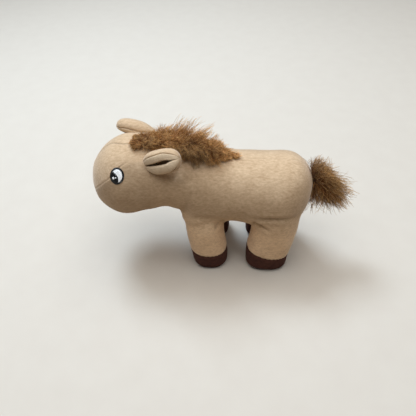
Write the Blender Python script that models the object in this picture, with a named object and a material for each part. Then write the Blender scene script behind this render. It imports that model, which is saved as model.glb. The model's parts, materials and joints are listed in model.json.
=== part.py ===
"""A small plush horse, built as sewn covers round their filling.

One form gives the head its shape and another the torso. The head ends in a round neck
that nods inside the torso's open collar. Each leg is a form with a round top that swings
in a recess of the torso. Fleece panels are a thin wall on those forms, parted along the
sewn seams, with the fibre filling inside them. Ears and tail hang on their sewn ends.
Metres, +Z up, nose towards -X, the horse's left side towards -Y.
"""

import math
from typing import NamedTuple

import bmesh
import bpy
from mathutils import Matrix, Vector

# Fabric and clearances
FLEECE = 0.0014
LINING = 0.0010
SEAM_GAP = 0.0004
FILL_GAP = 0.0004
REST_GAP = 0.0003
SWING_GAP = 0.0006
OVERRUN = 0.010

# Head and neck, along the horse from nose to neck seam
NOSE_X = -0.0848
NOSE_Z = 0.0658
HEAD_X = -0.0590
HEAD_Z = 0.0693
HEAD_HALF_HEIGHT = 0.0278
HEAD_HALF_WIDTH = 0.0261
POLL_X = -0.0449
POLL_Z = 0.0716
POLL_RADIUS = 0.0253
NAPE_X = -0.0325
NAPE_Z = 0.0713
NAPE_RADIUS = 0.0229
NAPE_LEAN = math.radians(8)
NECK_X = -0.0200
NECK_Z = 0.0685
NECK_RADIUS = 0.0218
NECK_LEAN = math.radians(20)
NECK_STRAIGHT = 0.0050
NECK_TUCK = 0.0070
NOD_DOWN = math.radians(12)
NOD_UP = math.radians(8)

# Torso, from its collar at the neck seam to the rump
COLLAR_WALL = 0.0011
CHEST_X = -0.0050
CHEST_Z = 0.0640
CHEST_HALF_HEIGHT = 0.0240
CHEST_HALF_WIDTH = 0.0242
CHEST_LEAN = math.radians(10)
BACK_X = 0.0140
BACK_Z = 0.0612
BACK_HALF_HEIGHT = 0.0228
BACK_HALF_WIDTH = 0.0246
HAUNCH_X = 0.0400
HAUNCH_Z = 0.0584
HAUNCH_HALF_HEIGHT = 0.0252
HAUNCH_HALF_WIDTH = 0.0262
RUMP_X = 0.0638
RUMP_Z = 0.0635
BELLY_SQUARE = 3.1
ARCH_SQUARE = 2.3

# Panel seams
BROW_SEAM_X = -0.0653
BROW_SEAM_Z = 0.0816
BROW_SEAM_SLOPE = math.radians(41.5)
GUSSET_HALF_WIDTH = 0.0120
GUSSET_FRONT_X = -0.0150
GUSSET_REAR_X = 0.0570
GUSSET_TOP_Z = 0.0440

# Legs and hooves
LEG_Y = 0.0146
LEG_HALF_WIDTH = 0.0120
LEG_SQUARE = 2.5
FRONT_HIP_X = -0.0088
FRONT_HIP_Z = 0.0362
FRONT_THIGH_RADIUS = 0.0132
FRONT_HOOF_X = -0.0056
FRONT_HOOF_HALF_LENGTH = 0.0127
FRONT_BAND_Z = 0.0150
FRONT_BAND_TILT = math.radians(1)
HIND_HIP_X = 0.0408
HIND_HIP_Z = 0.0430
HIND_THIGH_RADIUS = 0.0160
HIND_HOOF_X = 0.0366
HIND_HOOF_HALF_LENGTH = 0.0152
HIND_BAND_Z = 0.0150
HIND_BAND_TILT = math.radians(9)
HOOF_ROUNDING = 0.0042
SOLE_THICKNESS = 0.0018
RECESS_DEPTH_SHARES = (1.0, 0.6, 0.3)
SWING_AWAY = math.radians(20)
SWING_TOWARDS = math.radians(8)

# Ears
EAR_X = -0.0433
EAR_ROUND = math.radians(42)
EAR_LENGTH = 0.0245
EAR_HALF_WIDTH = 0.0088
EAR_HALF_DEPTH = 0.0050
EAR_BASE_HALF_DEPTH = 0.0016
EAR_WIDTH_SHARES = (0.60, 0.84, 0.96, 1.0, 1.0, 0.96, 0.87, 0.70, 0.36)
EAR_DEPTH_SHARES = (0.32, 0.54, 0.72, 0.90, 1.0, 0.98, 0.88, 0.68, 0.36)
EAR_FOLD = math.radians(168)
LINING_FOLD = math.radians(150)
LINING_START_SHARE = 0.24
LINING_END_SHARE = 0.88
LEFT_EAR_LIFT = math.radians(32)
RIGHT_EAR_LIFT = math.radians(163)

# Eyes
EYE_X = -0.0613
EYE_ROUND = math.radians(58)
EYE_HALF_LENGTH = 0.0046
EYE_HALF_HEIGHT = 0.0053
EYE_ROLL = math.radians(11)
EYE_RING_WIDTH = 0.0009
EYE_HEIGHT = 0.0008
PUPIL_RADIUS = 0.0031
PUPIL_FORWARD = 0.0012
PUPIL_DOWN = 0.0011
GLINT_RADIUS = 0.0006
GLINT_FORWARD = 0.0022
GLINT_DOWN = 0.0001
GLINT_HEIGHT = 0.0004

# Mane and tail
MANE_FRONT_X = -0.0540
MANE_REAR_X = 0.0200
MANE_TAPE_HALF_WIDTH = 0.0035
MANE_TAPE_HEIGHT = 0.0009
MANE_HALF_WIDTH = 0.0115
MANE_HEIGHT = 0.0120
MANE_FADE = 0.0057
MANE_SPLIT = math.radians(1)
TAIL_ROOT_Z = 0.0655
TAIL_TAB_LENGTH = 0.0038
TAIL_TAB_HALF_WIDTH = 0.0035
TAIL_TAB_HALF_HEIGHT = 0.0009
TAIL_LENGTH = 0.0250
TAIL_RADIUS = 0.0142
TAIL_SWELL_SHARES = (0.34, 0.66, 0.88, 0.98, 1.0, 0.92, 0.74, 0.40)
TAIL_DROOP = math.radians(8)

# Mesh density
BODY_SIDES = 28
LEG_SIDES = 20
FILL_SIDES = 16
SOCKET_SIDES = 28
EYE_SIDES = 20
CREST_SIDES = 12
CREST_STEPS = 6
TAIL_SIDES = 14
STEPS = 2
CAP_STEPS = 5
HOOF_STEPS = 3
EAR_STEPS = 8
FOLD_STEPS = 12

SHARP_EDGE = math.radians(50)
POLE_EDGE = 0.00002
ROUND = 2.0
RIGHT_ANGLE = math.radians(90)
SIDES = {"left": -1, "right": 1}
UP = Vector((0, 0, 1))
BACKWARD = Vector((1, 0, 0))
RIGHTWARD = Vector((0, 1, 0))


class Finish(NamedTuple):
    """A fabric's colour, as an sRGB hex value, and its roughness."""

    name: str
    colour: str
    roughness: float


BEIGE_FLEECE = Finish("beige_fleece", "C9AC86", 0.95)
EAR_LINING = Finish("ear_lining", "C2A37C", 0.95)
BROWN_FLEECE = Finish("brown_hoof_fleece", "3C231E", 0.92)
BROWN_PILE = Finish("brown_long_pile", "7A5228", 0.85)
BROWN_TAPE = Finish("brown_backing_tape", "5A3A20", 0.90)
BLACK_THREAD = Finish("black_thread", "141414", 0.55)
WHITE_THREAD = Finish("white_thread", "E4ECEC", 0.60)
WHITE_FIBRE = Finish("polyester_filling", "F2F0EA", 0.98)


class Ring(NamedTuple):
    """One cross-section: its centre, two half-axes, and how square each half is."""

    centre: Vector
    across: Vector
    up: Vector
    top_square: float = ROUND
    low_square: float = ROUND

    def point(self, unit):
        """The place of a point of the unit circle on this cross-section."""
        power = ROUND / (self.top_square if unit.y > 0 else self.low_square)
        side = math.copysign(abs(unit.x) ** power, unit.x)
        rise = math.copysign(abs(unit.y) ** power, unit.y)
        return self.centre + self.across * side + self.up * rise

    def at(self, turn):
        """The point at an angle from the top, round towards +Y."""
        return self.point(Vector((math.sin(turn), math.cos(turn))))

    def outline(self, sides):
        """Points all the way round this cross-section."""
        return [self.at(2 * math.pi * step / sides) for step in range(sides)]


class Station(NamedTuple):
    """A named cross-section of the head or the torso, in its own sizes."""

    x: float
    z: float
    half_height: float
    half_width: float
    lean: float
    low_square: float = ROUND

    def ring(self, grow):
        """The cross-section, made larger all round by grow."""
        up = Vector((math.sin(self.lean), 0, math.cos(self.lean)))
        centre = Vector((self.x, 0, self.z))
        across = RIGHTWARD * (self.half_width + grow)
        return Ring(centre, across, up * (self.half_height + grow), ROUND, self.low_square)


def forwards(lean):
    """The direction towards the nose, square to a ring that leans so much."""
    return Vector((-math.cos(lean), 0, math.sin(lean)))


NECK = Vector((NECK_X, 0, NECK_Z))
NECK_AHEAD = forwards(NECK_LEAN)
THROAT = NECK + NECK_AHEAD * NECK_STRAIGHT
SOCKET_RADIUS = NECK_RADIUS + SWING_GAP
COLLAR_RADIUS = SOCKET_RADIUS + COLLAR_WALL


def through(stations):
    """Stations on one smooth curve through those given, with STEPS to each stretch."""
    smooth = []
    last = len(stations) - 1
    for index in range(last):
        four = [stations[min(max(index + step, 0), last)] for step in (-1, 0, 1, 2)]
        for step in range(STEPS):
            smooth.append(Station(*(curve(values, step / STEPS) for values in zip(*four))))
    return smooth + [stations[-1]]


def at_share(values, share):
    """The value at a share of the way along a table of shares."""
    place = share * (len(values) - 1)
    index = min(int(place), len(values) - 2)
    return values[index] + (values[index + 1] - values[index]) * (place - index)


def curve(values, share):
    """A Catmull-Rom curve from the second of four values to the third."""
    before, start, end, after = values
    slope_in = (end - before) / 2
    slope_out = (after - start) / 2
    square, cube = share**2, share**3
    return (
        start * (2 * cube - 3 * square + 1)
        + slope_in * (cube - 2 * square + share)
        + end * (3 * square - 2 * cube)
        + slope_out * (cube - square)
    )


def cap(station, tip, grow):
    """Rings of a half ellipsoid from its tip to the station that it closes."""
    rings = []
    for step in range(CAP_STEPS):
        turn = RIGHT_ANGLE * step / CAP_STEPS
        out, round_share = math.cos(turn), math.sin(turn)
        reach = tip - Vector((station.x, 0, station.z))
        centre = Vector((station.x, 0, station.z)) + (reach + reach.normalized() * grow) * out
        full = station.ring(grow)
        square = ROUND + (station.low_square - ROUND) * round_share
        rings.append(Ring(centre, full.across * round_share, full.up * round_share, ROUND, square))
    return rings


def head_rings(grow=0.0):
    """The head from its nose to the round end of its neck."""
    stations = through(
        [
            Station(HEAD_X, HEAD_Z, HEAD_HALF_HEIGHT, HEAD_HALF_WIDTH, 0),
            Station(POLL_X, POLL_Z, POLL_RADIUS, POLL_RADIUS, 0),
            Station(NAPE_X, NAPE_Z, NAPE_RADIUS, NAPE_RADIUS, NAPE_LEAN),
            Station(THROAT.x, THROAT.z, NECK_RADIUS, NECK_RADIUS, NECK_LEAN),
            Station(NECK.x, NECK.z, NECK_RADIUS, NECK_RADIUS, NECK_LEAN),
        ]
    )
    rings = cap(stations[0], Vector((NOSE_X, 0, NOSE_Z)), grow)
    rings += [station.ring(grow) for station in stations]
    full = stations[-1].ring(grow)
    for step in range(1, CAP_STEPS + 1):
        turn = RIGHT_ANGLE * step / CAP_STEPS
        centre = NECK - NECK_AHEAD * (NECK_RADIUS + grow) * math.sin(turn)
        round_share = math.cos(turn)
        rings.append(Ring(centre, full.across * round_share, full.up * round_share))
    return rings


def torso_rings(grow=0.0, collar_overrun=0.0):
    """The torso from its rump to its open collar."""
    stations = through(
        [
            Station(HAUNCH_X, HAUNCH_Z, HAUNCH_HALF_HEIGHT, HAUNCH_HALF_WIDTH, 0, BELLY_SQUARE),
            Station(BACK_X, BACK_Z, BACK_HALF_HEIGHT, BACK_HALF_WIDTH, 0, ARCH_SQUARE),
            Station(CHEST_X, CHEST_Z, CHEST_HALF_HEIGHT, CHEST_HALF_WIDTH, CHEST_LEAN, BELLY_SQUARE),
            Station(NECK.x, NECK.z, COLLAR_RADIUS, COLLAR_RADIUS, NECK_LEAN),
        ]
    )
    rings = cap(stations[0], Vector((RUMP_X, 0, RUMP_Z)), grow)
    rings += [station.ring(grow) for station in stations]
    if collar_overrun:
        collar = rings[-1]
        rings.append(collar._replace(centre=collar.centre + NECK_AHEAD * collar_overrun))
    return rings


def section_at(rings, x):
    """The cross-section of a row of rings at a place along the horse."""
    reach = [ring.centre.x for ring in rings]
    x = min(max(x, min(reach)), max(reach))
    for near, far in zip(rings, rings[1:]):
        low, high = sorted((near.centre.x, far.centre.x))
        if low <= x <= high:
            share = (x - near.centre.x) / (far.centre.x - near.centre.x)
            pairs = zip(near, far)
            return Ring(*(first + (second - first) * share for first, second in pairs))
    raise ValueError(f"no cross-section at {x}")


class Leg(NamedTuple):
    """One leg: its side, hip, thigh, hoof and how far it swings each way."""

    name: str
    side: str
    hip_x: float
    hip_z: float
    thigh_radius: float
    hoof_x: float
    hoof_half_length: float
    band_z: float
    band_tilt: float
    swing_forward: float
    swing_back: float

    @property
    def y(self):
        return SIDES[self.side] * LEG_Y

    @property
    def hip(self):
        return Vector((self.hip_x, self.y, self.hip_z))

    def ring(self, x, z, half_length, half_width, square=ROUND):
        """A level cross-section of this leg."""
        across, along = RIGHTWARD * half_width, BACKWARD * half_length
        return Ring(Vector((x, self.y, z)), across, along, square, square)

    def rings(self, grow=0.0, floor=0.0):
        """The leg from its flat sole to the round top about the hip's axis."""
        rings = []
        rounding = HOOF_ROUNDING + grow
        for step in range(HOOF_STEPS):
            turn = RIGHT_ANGLE * step / HOOF_STEPS
            inset = rounding * (1 - math.sin(turn))
            z = floor + rounding * (1 - math.cos(turn))
            half_length = self.hoof_half_length + grow - inset
            half_width = LEG_HALF_WIDTH + grow - inset
            rings.append(self.ring(self.hoof_x, z, half_length, half_width, LEG_SQUARE))
        bottom = floor + rounding
        for step in range(CAP_STEPS - 1):
            share = step / (CAP_STEPS - 1)
            ease = share * share * (3 - 2 * share)
            x = self.hoof_x + (self.hip_x - self.hoof_x) * ease
            growth = (self.thigh_radius - self.hoof_half_length) * ease
            square = LEG_SQUARE + (ROUND - LEG_SQUARE) * ease
            z = bottom + (self.hip_z - bottom) * share
            half_length = self.hoof_half_length + growth + grow
            rings.append(self.ring(x, z, half_length, LEG_HALF_WIDTH + grow, square))
        for step in range(CAP_STEPS + 1):
            turn = RIGHT_ANGLE * step / CAP_STEPS
            level, round_share = math.sin(turn), math.cos(turn)
            z = self.hip_z + (self.thigh_radius + grow) * level
            half_length = (self.thigh_radius + grow) * round_share
            rings.append(self.ring(self.hip_x, z, half_length, (LEG_HALF_WIDTH + grow) * round_share))
        return rings

    def recess_rings(self):
        """The space that the leg's round top and swinging thigh need in the torso."""
        radius = self.thigh_radius + SWING_GAP
        half_width = LEG_HALF_WIDTH + SWING_GAP
        rings = []
        for share in RECESS_DEPTH_SHARES:
            depth = (self.hip_z - SOLE_THICKNESS) * share
            rings.append(self.flared_ring(-depth, radius, half_width, LEG_SQUARE))
        for step in range(2 * CAP_STEPS + 1):
            turn = RIGHT_ANGLE * step / (2 * CAP_STEPS)
            width = half_width * math.cos(turn)
            rings.append(self.flared_ring(radius * math.sin(turn), radius, width, ROUND))
        return rings

    def flared_ring(self, rise, radius, half_width, square):
        """A cross-section at a height from the hip, with room for both swings."""
        reaches = []
        for swing in (self.swing_forward, self.swing_back):
            if rise >= radius * math.sin(swing):
                reaches.append(math.sqrt(max(radius**2 - rise**2, 0)))
            else:
                reaches.append(radius / math.cos(swing) - rise * math.tan(swing))
        front, back = reaches
        x = self.hip_x + (back - front) / 2
        return self.ring(x, self.hip_z + rise, (front + back) / 2, half_width, square)


def all_legs():
    """The four legs, front and hind, left and right."""
    legs = []
    for side in SIDES:
        front = (FRONT_HIP_X, FRONT_HIP_Z, FRONT_THIGH_RADIUS, FRONT_HOOF_X)
        front += (FRONT_HOOF_HALF_LENGTH, FRONT_BAND_Z, FRONT_BAND_TILT, SWING_AWAY, SWING_TOWARDS)
        legs.append(Leg(f"front_{side}", side, *front))
        hind = (HIND_HIP_X, HIND_HIP_Z, HIND_THIGH_RADIUS, HIND_HOOF_X)
        hind += (HIND_HOOF_HALF_LENGTH, HIND_BAND_Z, HIND_BAND_TILT, SWING_TOWARDS, SWING_AWAY)
        legs.append(Leg(f"hind_{side}", side, *hind))
    return legs


def dressed(finish):
    """The finish's material, made once."""
    found = bpy.data.materials.get(finish.name)
    if found:
        return found
    material = bpy.data.materials.new(finish.name)
    material.use_nodes = True
    shader = material.node_tree.nodes["Principled BSDF"]
    channels = [int(finish.colour[start : start + 2], 16) / 255 for start in (0, 2, 4)]
    linear = [((c + 0.055) / 1.055) ** 2.4 if c > 0.04045 else c / 12.92 for c in channels]
    shader.inputs["Base Color"].default_value = (*linear, 1)
    shader.inputs["Roughness"].default_value = finish.roughness
    shader.inputs["Metallic"].default_value = 0
    material.diffuse_color = (*linear, 1)
    return material


def add_object(name, bm, carrier, finish=None):
    """An object of this mesh on its carrier's pivot, or a hidden guide without a finish."""
    bmesh.ops.recalc_face_normals(bm, faces=bm.faces)
    pivot = carrier.matrix_world.translation
    bmesh.ops.translate(bm, verts=bm.verts, vec=-pivot)
    mesh = bpy.data.meshes.new(name)
    bm.to_mesh(mesh)
    bm.free()
    piece = bpy.data.objects.new(name, mesh)
    bpy.context.scene.collection.objects.link(piece)
    piece.parent = carrier
    if finish:
        mesh.materials.append(dressed(finish))
        mesh.shade_smooth()
        mesh.set_sharp_from_angle(angle=SHARP_EDGE)
    else:
        piece.hide_render = True
        piece.display_type = "WIRE"
    return piece


def pivot_at(name, place, parent=None):
    """An empty on a joint's axis, which carries the pieces that move with it."""
    pivot = bpy.data.objects.new(name, None)
    bpy.context.scene.collection.objects.link(pivot)
    pivot.parent = parent
    pivot.location = place - parent.matrix_world.translation if parent else place
    bpy.context.view_layer.update()
    return pivot


def skinned(outlines):
    """A closed mesh through outlines of equal counts, with capped ends."""
    bm = bmesh.new()
    loops = []
    for outline in outlines:
        verts = bmesh.ops.create_circle(bm, segments=len(outline), radius=1)["verts"]
        edges = list({edge for vert in verts for edge in vert.link_edges})
        for vert, place in zip(verts, outline):
            vert.co = place
        loops.append((verts, edges))
    for near, far in zip(loops, loops[1:]):
        bmesh.ops.bridge_loops(bm, edges=near[1] + far[1])
    for verts, edges in (loops[0], loops[-1]):
        if edges[0].calc_length() < POLE_EDGE:
            bmesh.ops.pointmerge(bm, verts=verts, merge_co=verts[0].co)
        else:
            bmesh.ops.holes_fill(bm, edges=edges, sides=0)
    return bm


def loft(name, rings, sides, carrier, finish=None):
    """An object through a row of rings, drawn to a point where an end ring has no size."""
    return add_object(name, skinned([ring.outline(sides) for ring in rings]), carrier, finish)


def block(name, low, high, carrier, turn=0.0, about=None):
    """A hidden box between two corners, turned about an axis along Y."""
    bm = bmesh.new()
    bmesh.ops.create_cube(bm, size=1)
    low, high = Vector(low), Vector(high)
    bmesh.ops.scale(bm, verts=bm.verts, vec=high - low)
    bmesh.ops.translate(bm, verts=bm.verts, vec=(low + high) / 2)
    if turn:
        spin = Matrix.Rotation(turn, 3, RIGHTWARD)
        bmesh.ops.rotate(bm, verts=bm.verts, cent=about, matrix=spin)
    return add_object(name, bm, carrier)


def cut(piece, *cutters, keep=False):
    """Takes the cutters' space from the piece, or keeps only what lies in them."""
    for cutter in cutters:
        boolean = piece.modifiers.new(cutter.name, "BOOLEAN")
        boolean.operation = "INTERSECT" if keep else "DIFFERENCE"
        boolean.solver = "EXACT"
        boolean.object = cutter
    return piece


class Workbench:
    """The horse's pivots and the guides that several pieces are cut by."""

    def __init__(self):
        self.horse = pivot_at("plush_horse", Vector())
        self.neck = pivot_at("neck_pivot", NECK, self.horse)
        self.legs = all_legs()
        self.reach = RUMP_X - NOSE_X
        self.make_sides()
        self.make_socket_and_recesses()

    def make_sides(self):
        """Guides that keep the left or the right half, clear of the middle seam."""
        half = SEAM_GAP / 2
        reach = self.reach
        self.halves = {
            "left": block("left_half", (-reach, -reach, -reach), (reach, -half, reach), self.horse),
            "right": block("right_half", (-reach, half, -reach), (reach, reach, reach), self.horse),
        }

    def make_socket_and_recesses(self):
        """Guides for the neck's ball and for each swinging leg."""
        bm = bmesh.new()
        matrix = Matrix.Translation(NECK) @ Matrix.Rotation(RIGHT_ANGLE, 4, BACKWARD)
        bmesh.ops.create_uvsphere(
            bm,
            u_segments=SOCKET_SIDES,
            v_segments=SOCKET_SIDES // 2,
            radius=SOCKET_RADIUS,
            matrix=matrix,
        )
        self.socket = add_object("neck_socket", bm, self.horse)
        self.recesses = {}
        for leg in self.legs:
            name = f"{leg.name}_recess"
            self.recesses[leg.name] = loft(name, leg.recess_rings(), BODY_SIDES, self.horse)

    def half_space(self, name, place, turn, above=True):
        """A hidden block that fills one side of a plane through a place, turned along Y."""
        reach = self.reach
        low_z, high_z = (place.z, place.z + reach) if above else (place.z - reach, place.z)
        low = (place.x - reach, -reach, low_z)
        high = (place.x + reach, reach, high_z)
        return block(name, low, high, self.horse, turn, place)


def build_torso(bench):
    """The torso's two side panels, its belly gusset and its filling."""
    inner = loft("torso_inner", torso_rings(-FLEECE, OVERRUN), BODY_SIDES, bench.horse)
    front, rear, top = GUSSET_FRONT_X, GUSSET_REAR_X, GUSSET_TOP_Z
    seam = SEAM_GAP
    low = (front, -GUSSET_HALF_WIDTH, 0)
    gusset_zone = block("gusset_zone", low, (rear, GUSSET_HALF_WIDTH, top), bench.horse)
    low = (front - seam, -GUSSET_HALF_WIDTH - seam, 0)
    high = (rear + seam, GUSSET_HALF_WIDTH + seam, top + seam)
    gusset_opening = block("gusset_opening", low, high, bench.horse)
    for side in SIDES:
        panel = loft(f"torso_side_{side}", torso_rings(), BODY_SIDES, bench.horse, BEIGE_FLEECE)
        recesses = [bench.recesses[leg.name] for leg in bench.legs if leg.side == side]
        cut(panel, inner)
        cut(panel, bench.halves[side], keep=True)
        cut(panel, bench.socket, *recesses, gusset_opening)
    gusset = loft("belly_gusset", torso_rings(), BODY_SIDES, bench.horse, BEIGE_FLEECE)
    cut(gusset, inner)
    cut(gusset, gusset_zone, keep=True)
    cut(gusset, bench.socket, *bench.recesses.values())
    inset = -(FLEECE + FILL_GAP)
    filling = loft("torso_stuffing", torso_rings(inset), FILL_SIDES, bench.horse, WHITE_FIBRE)
    cut(filling, bench.socket, *bench.recesses.values())


def build_head(bench):
    """The head's side panels, its brow panels and its filling."""
    inner = loft("head_inner", head_rings(-FLEECE), BODY_SIDES, bench.horse)
    seam = Vector((BROW_SEAM_X, 0, BROW_SEAM_Z))
    lift = Vector((-math.sin(BROW_SEAM_SLOPE), 0, math.cos(BROW_SEAM_SLOPE))) * SEAM_GAP / 2
    slope = -BROW_SEAM_SLOPE
    brow_zone = bench.half_space("brow_zone", seam + lift, slope)
    side_opening = bench.half_space("side_opening", seam - lift, slope)
    tuck = NECK - NECK_AHEAD * NECK_TUCK
    tucked_end = bench.half_space("tucked_end", tuck, RIGHT_ANGLE + NECK_LEAN)
    for side in SIDES:
        panel = loft(f"head_side_{side}", head_rings(), BODY_SIDES, bench.neck, BEIGE_FLEECE)
        cut(panel, inner)
        cut(panel, bench.halves[side], keep=True)
        cut(panel, side_opening, tucked_end)
        brow = loft(f"brow_{side}", head_rings(), BODY_SIDES, bench.neck, BEIGE_FLEECE)
        cut(brow, inner)
        cut(brow, bench.halves[side], brow_zone, keep=True)
    inset = -(FLEECE + FILL_GAP)
    loft("head_stuffing", head_rings(inset), FILL_SIDES, bench.neck, WHITE_FIBRE)


def build_leg(bench, leg):
    """One leg's cover, hoof cover, sole and filling, on its hip's axis."""
    hip = pivot_at(f"hip_{leg.name}", leg.hip, bench.horse)
    inner = loft(f"leg_{leg.name}_inner", leg.rings(-FLEECE, FLEECE), LEG_SIDES, bench.horse)
    band = Vector((leg.hoof_x, 0, leg.band_z))
    seam = UP * SEAM_GAP / 2
    above = bench.half_space(f"{leg.name}_cover_zone", band + seam, leg.band_tilt)
    below = bench.half_space(f"{leg.name}_hoof_zone", band - seam, leg.band_tilt, above=False)
    sole_top = Vector((leg.hoof_x, 0, SOLE_THICKNESS))
    sole_zone = bench.half_space(f"{leg.name}_sole_zone", sole_top, 0, above=False)
    sole_opening = bench.half_space(f"{leg.name}_sole_opening", sole_top + UP * SEAM_GAP, 0, above=False)
    cover = loft(f"leg_cover_{leg.name}", leg.rings(), LEG_SIDES, hip, BEIGE_FLEECE)
    cut(cover, inner)
    cut(cover, above, keep=True)
    hoof = loft(f"hoof_cover_{leg.name}", leg.rings(), LEG_SIDES, hip, BROWN_FLEECE)
    cut(hoof, inner)
    cut(hoof, below, keep=True)
    cut(hoof, sole_opening)
    sole = loft(f"hoof_sole_{leg.name}", leg.rings(), LEG_SIDES, hip, BROWN_FLEECE)
    cut(sole, sole_zone, keep=True)
    rings = leg.rings(-(FLEECE + FILL_GAP), SOLE_THICKNESS + FILL_GAP)
    loft(f"leg_stuffing_{leg.name}", rings, FILL_SIDES, hip, WHITE_FIBRE)


class EyePlane:
    """The tangent plane that an eye's stitched patches are drawn on."""

    def __init__(self, side):
        section = section_at(head_rings(), EYE_X)
        turn = SIDES[side] * EYE_ROUND
        self.centre = section.at(turn)
        self.out = Vector((0, math.sin(turn), math.cos(turn)))
        rise = (UP - self.out * UP.dot(self.out)).normalized()
        self.rise = Matrix.Rotation(SIDES[side] * -EYE_ROLL, 3, self.out) @ rise
        self.back = self.rise.cross(self.out) * SIDES[side]
        if self.back.x < 0:
            self.back.negate()

    def outline(self, name, half_length, half_height, bench, shift=(0.0, 0.0), finish=None):
        """An upright prism of an ellipse, moved back and up in the plane by shift."""
        middle = self.centre + self.back * shift[0] + self.rise * shift[1]
        ends = [middle + self.out * depth for depth in (-EYE_HALF_HEIGHT, EYE_HALF_HEIGHT)]
        axes = (self.back * half_length, self.rise * half_height)
        rings = [Ring(end, *axes) for end in ends]
        return loft(name, rings, EYE_SIDES, bench.neck, finish)


def build_eyes(bench):
    """Each eye's stitched ring, white, pupil and glint, raised on the fleece."""
    base = loft("eye_base", head_rings(REST_GAP), BODY_SIDES, bench.horse)
    face = loft("eye_face", head_rings(REST_GAP + EYE_HEIGHT), BODY_SIDES, bench.horse)
    shine_base = loft("glint_base", head_rings(2 * REST_GAP + EYE_HEIGHT), BODY_SIDES, bench.horse)
    shine_height = 2 * REST_GAP + EYE_HEIGHT + GLINT_HEIGHT
    shine_face = loft("glint_face", head_rings(shine_height), BODY_SIDES, bench.horse)
    length, height = EYE_HALF_LENGTH - EYE_RING_WIDTH, EYE_HALF_HEIGHT - EYE_RING_WIDTH
    pupil_place = (-PUPIL_FORWARD, -PUPIL_DOWN)
    glint_place = (-GLINT_FORWARD, -GLINT_DOWN)
    for side in SIDES:
        plane = EyePlane(side)
        hole = plane.outline(f"eye_{side}_hole", length, height, bench)
        socket = PUPIL_RADIUS + SEAM_GAP
        pupil_hole = plane.outline(f"pupil_{side}_hole", socket, socket, bench, pupil_place)
        sizes = (EYE_HALF_LENGTH, EYE_HALF_HEIGHT)
        ring = plane.outline(f"eye_ring_{side}", *sizes, bench, finish=BLACK_THREAD)
        cut(ring, face, keep=True)
        cut(ring, base, hole)
        sizes = (length - SEAM_GAP, height - SEAM_GAP)
        inside = plane.outline(f"eye_{side}_inside", *sizes, bench)
        white = plane.outline(f"eye_white_{side}", *sizes, bench, finish=WHITE_THREAD)
        cut(white, face, keep=True)
        cut(white, base, pupil_hole)
        sizes = (PUPIL_RADIUS, PUPIL_RADIUS, bench, pupil_place)
        pupil = plane.outline(f"eye_pupil_{side}", *sizes, BLACK_THREAD)
        cut(pupil, face, inside, keep=True)
        cut(pupil, base)
        sizes = (GLINT_RADIUS, GLINT_RADIUS, bench, glint_place)
        glint = plane.outline(f"eye_glint_{side}", *sizes, WHITE_THREAD)
        cut(glint, shine_face, keep=True)
        cut(glint, shine_base)


class Ear:
    """One folded ear: its base on the head, the way it points and the way it opens."""

    def __init__(self, side, lift):
        section = section_at(head_rings(), EAR_X)
        turn = SIDES[side] * EAR_ROUND
        out = Vector((0, math.sin(turn), math.cos(turn)))
        self.base = section.at(turn) + out * (EAR_BASE_HALF_DEPTH + REST_GAP)
        self.along = BACKWARD * math.cos(lift) + out * math.sin(lift)
        self.open = out * math.cos(lift) - BACKWARD * math.sin(lift)
        self.across = self.along.cross(self.open)

    def fold(self, share, inset, wall, fold):
        """The closed outline of a folded layer at a share of the ear's length."""
        half_width = EAR_HALF_WIDTH * at_share(EAR_WIDTH_SHARES, share) - inset
        half_depth = EAR_HALF_DEPTH * at_share(EAR_DEPTH_SHARES, share) - inset
        middle = self.base + self.along * EAR_LENGTH * share
        points = []
        for depth_in, direction in ((0, 1), (wall, -1)):
            for step in range(FOLD_STEPS + 1):
                turn = direction * fold * (2 * step / FOLD_STEPS - 1)
                side = self.across * (half_width - depth_in) * math.sin(turn)
                points.append(middle + side - self.open * (half_depth - depth_in) * math.cos(turn))
        return points

    def layer(self, inset, wall, fold, start, end):
        """A mesh of one folded layer between two shares of the ear's length."""
        shares = [start + (end - start) * step / EAR_STEPS for step in range(EAR_STEPS + 1)]
        return skinned([self.fold(share, inset, wall, fold) for share in shares])


def build_ears(bench):
    """Both ears: the outer fleece and the lining folded inside it."""
    for side, lift in (("left", LEFT_EAR_LIFT), ("right", RIGHT_EAR_LIFT)):
        ear = Ear(side, lift)
        pivot = pivot_at(f"ear_pivot_{side}", ear.base, bench.neck)
        outer = ear.layer(0, FLEECE, EAR_FOLD, 0, 1)
        add_object(f"ear_outer_{side}", outer, pivot, BEIGE_FLEECE)
        shares = LINING_START_SHARE, LINING_END_SHARE
        lining = ear.layer(FLEECE + REST_GAP, LINING, LINING_FOLD, *shares)
        add_object(f"ear_lining_{side}", lining, pivot, EAR_LINING)


def crest_rings(rings, start_x, end_x):
    """The mane's pile along part of a row of rings, fading to nothing at the mane's ends."""
    crest = []
    for step in range(CREST_STEPS + 1):
        x = start_x + (end_x - start_x) * step / CREST_STEPS
        share = (x - MANE_FRONT_X) / (MANE_REAR_X - MANE_FRONT_X)
        swell = math.sqrt(max(math.sin(math.pi * min(max(share, 0), 1)), 0))
        section = section_at(rings, x)
        rise = section.up.normalized() * MANE_HEIGHT * swell
        crest.append(Ring(section.at(0), RIGHTWARD * MANE_HALF_WIDTH * swell, rise))
    return crest


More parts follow.
